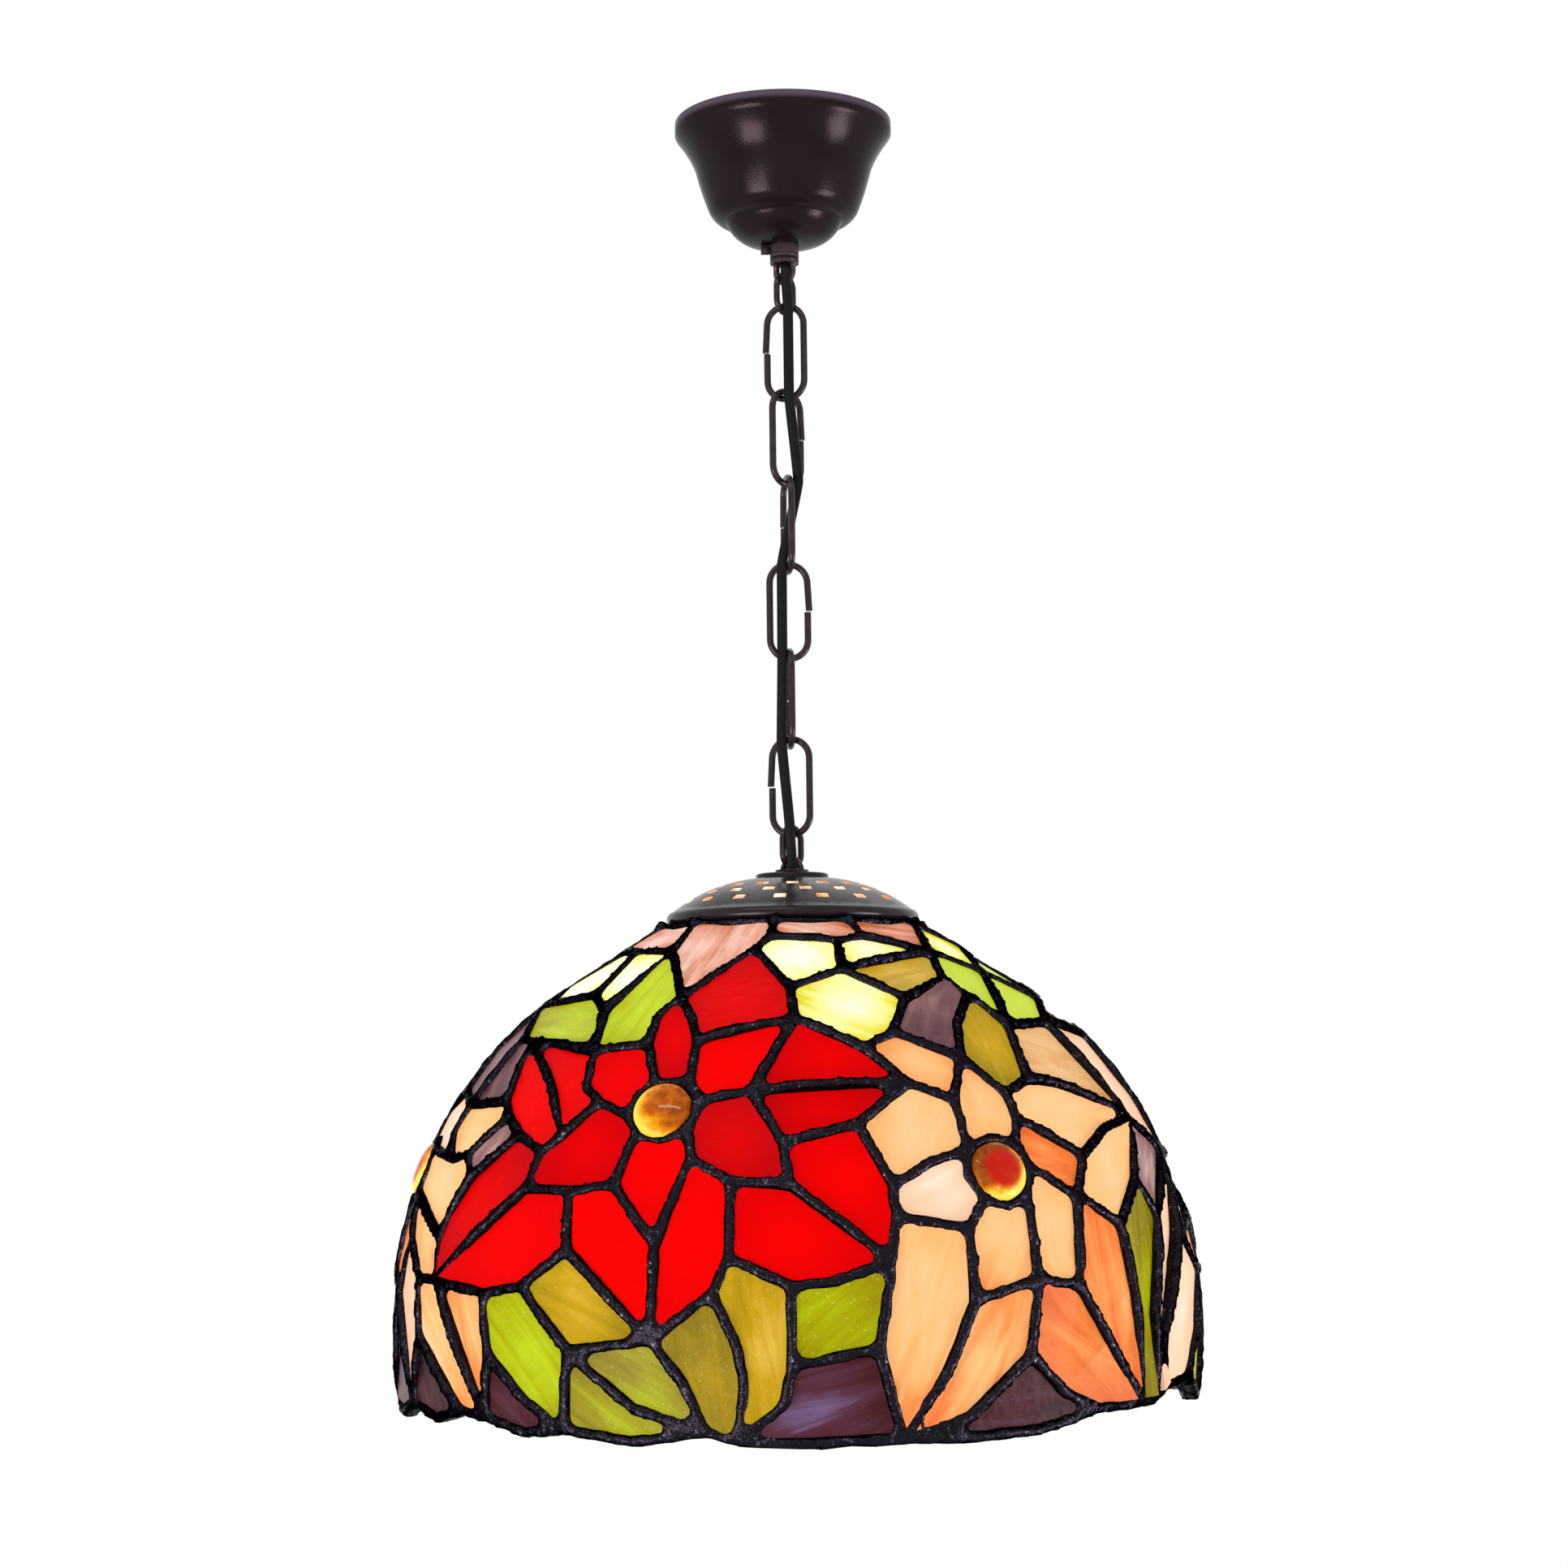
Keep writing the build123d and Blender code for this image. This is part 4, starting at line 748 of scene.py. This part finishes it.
def round_dome(node, finish, turn):
    """A dome over each hole in place of the solid's cone, with how high each point sits on it, and how far it
    leans to where the light gathers: straight down, turned by the given angle."""
    mesh = merged_copy(node)
    spots = np.array([v.co for v in mesh.vertices])
    domes = bmesh.new()
    rise, lean = domes.verts.layers.float.new("rise"), domes.verts.layers.float.new("lean")
    for pane in split_panes(mesh):
        ring = spots[pane]
        centre = ring.mean(axis=0)
        out = np.array([centre[0], centre[1], 0.0])
        axis = np.linalg.svd(ring - centre)[2]
        normal = min(axis, key=lambda a: np.ptp((ring - centre) @ a))
        if normal @ out < 0:
            normal = -normal
        reach = np.linalg.norm((ring - centre) - np.outer((ring - centre) @ normal, normal), axis=1).max()
        base, crest = ((ring - centre) @ normal).min(), ((ring - centre) @ normal).max()
        side = np.cross(normal, [0, 0, 1.0])
        side /= np.linalg.norm(side)
        up = np.cross(side, normal)
        rings = []
        foot, swell = base + SKIRT, crest - base - SKIRT
        profile = [(reach, base), (reach, foot)]
        profile += [(reach * math.cos(t), foot + swell * math.sin(t))
                    for t in np.linspace(0.12, math.pi / 2 - 0.08, TIERS)]
        for radius, level in profile:
            row = []
            for step in range(SPOKES):
                angle = math.tau * step / SPOKES
                spot = centre + normal * level + side * radius * math.cos(angle) + up * radius * math.sin(angle)
                vert = domes.verts.new(spot)
                vert[rise] = max(0.0, (level - foot) / swell)
                vert[lean] = 0.5 - 0.5 * math.sin(angle + turn)
                row.append(vert)
            rings.append(row)
        for low_ring, high_ring in zip(rings, rings[1:]):
            for step in range(SPOKES):
                domes.faces.new((low_ring[step], low_ring[step - 1], high_ring[step - 1], high_ring[step]))
        for row, level, shut in ((rings[0], base, 0.0), (rings[-1], crest, 1.0)):
            tip = domes.verts.new(centre + normal * level)
            tip[rise], tip[lean] = shut, 0.5
            for step in range(SPOKES):
                domes.faces.new((row[step], row[step - 1], tip) if shut else (row[step - 1], row[step], tip))
    bmesh.ops.recalc_face_normals(domes, faces=domes.faces)
    made = bpy.data.meshes.new(node + "_domes")
    domes.to_mesh(made)
    domes.free()
    made.shade_smooth()
    made.set_sharp_from_angle(angle=math.radians(50))
    put(node + "_domes", made, "shade", finish, [node])


round_dome("cabochons_red_flower", amber, -1.2)
round_dome("cabochons_round_flower", red_hearted, 0.7)
round_dome("cabochons_side_flower", red_hearted, 0.7)

# ---------------------------------------------------------------- flex
# Flat twin flex, black, woven down through the chain. It is made in lengths, each from the middle of one link
# to the middle of the next.
# Places are in millimetres, and each pair of points beside a link is given by its reach and heading from the middle.
route = [(-8.8, 0, -4.6), (0.4, -0.9, -4.6), (0.1, -1.3, -30), (0.1, -1.3, -54.3)]
for z, reach, heading in ((-59.0, 4.4, 275), (-72.5, 4.2, 285), (-105.8, 4.4, 284), (-139.1, 4.4, 342),
                          (-172.3, 4.3, 235), (-205.6, 4.3, 232), (-238.8, 4.3, 220), (-272.1, 4.8, 263),
                          (-285.4, 4.0, 270)):
    for shift in (1.6, -1.6):
        route.append((reach * math.cos(math.radians(heading)), reach * math.sin(math.radians(heading)), z + shift))
route += [(0, -2.2, -290.4), (0.1, -2.1, -310.4), (0, -7.0, -314.0), (0, -7.0, -319.5)]
flex_line = bpy.data.curves.new("flex_line", "CURVE")
flex_line.dimensions = "3D"
spline = flex_line.splines.new("NURBS")
spline.points.add(len(route) - 1)
for point, (x, y, z) in zip(spline.points, route):
    point.co = (x / 1000, y / 1000, z / 1000, 1)
spline.order_u, spline.use_endpoint_u, spline.resolution_u = 3, True, 8
holder = bpy.data.objects.new("flex_line", flex_line)
scene.collection.objects.link(holder)
bpy.context.view_layer.update()
line_mesh = bpy.data.meshes.new_from_object(holder.evaluated_get(bpy.context.evaluated_depsgraph_get()))
line = np.array([v.co for v in line_mesh.vertices])
bpy.data.objects.remove(holder)

rubber = Finish("black_flex")
wave = rubber.grain(0.002, 3)
rubber.wear(Base_Color=rubber.blend(wave, shade(6, 5, 5), shade(15, 12, 12)), Roughness=wave * 0.15 + 0.4,
            Specular_IOR_Level=0.12, Normal=rubber.bump(wave, 0.00005))
SECTION = 20      # points round the flex
core, flat = 0.00105, 0.0009      # radius of one core, and how far its centre is from the middle
outline = []
for step in range(SECTION):
    angle = math.tau * step / SECTION
    pull = flat if math.cos(angle) > 0 else -flat
    outline.append((core * math.cos(angle) + pull * min(1.0, abs(math.cos(angle)) * 3), core * math.sin(angle)))
tangents = np.gradient(line, axis=0)
tangents /= np.linalg.norm(tangents, axis=1)[:, None]
side = np.array([0.0, 1.0, 0.0])
tube = []
for spot, along in zip(line, tangents):
    side = side - along * (side @ along)
    side /= np.linalg.norm(side)
    other = np.cross(along, side)
    tube.append([spot + side * v + other * u for u, v in outline])

chain_of_bodies = ["ceiling", "top_ring", "link_a", "link_b", "link_c", "link_d", "link_e", "link_f",
                   "bottom_ring", "shade"]
hinge_at = {joint["child"]: joint["pos_m"][2] for joint in frame["record"]["behaviour"]["joints"]}
hinges = [hinge_at[child] for child in chain_of_bodies[1:]]
cuts = [(a + b) / 2 for a, b in zip(hinges, hinges[1:])]
SHORT_GIVE, LONG_GIVE = 0.004, 0.010      # distances from a hinge: at the chain's ends, and along it
levels = line[:, 2]
first = 0
for number, (parent, child, hinge) in enumerate(zip(chain_of_bodies, chain_of_bodies[1:], hinges)):
    last = int(np.argmax(levels < cuts[number])) if number < len(cuts) else len(line) - 1
    rows = tube[first:last + 1]
    mesh = bpy.data.meshes.new("flex_" + child)
    faces = [(r * SECTION + s, r * SECTION + (s + 1) % SECTION, (r + 1) * SECTION + (s + 1) % SECTION,
              (r + 1) * SECTION + s) for r in range(len(rows) - 1) for s in range(SECTION)]
    faces += [tuple(reversed(range(SECTION))), tuple((len(rows) - 1) * SECTION + s for s in range(SECTION))]
    mesh.from_pydata([tuple(p) for row in rows for p in row], [], faces)
    work = bmesh.new()
    work.from_mesh(mesh)
    bmesh.ops.recalc_face_normals(work, faces=work.faces)
    work.to_mesh(mesh)
    work.free()
    mesh.shade_smooth()
    mesh.set_sharp_from_angle(angle=math.radians(50))
    mesh.materials.append(rubber.material)
    made = bpy.data.objects.new("flex_" + child, mesh)
    scene.collection.objects.link(made)
    give = SHORT_GIVE if number in (0, len(cuts)) else LONG_GIVE
    hinge + give
    hinge - give
    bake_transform(made)
    if number == 0:
        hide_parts("mains_cord")
    first = last

# ---------------------------------------------------------------- sizes
# The box of the dressed lamp.
low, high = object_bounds()
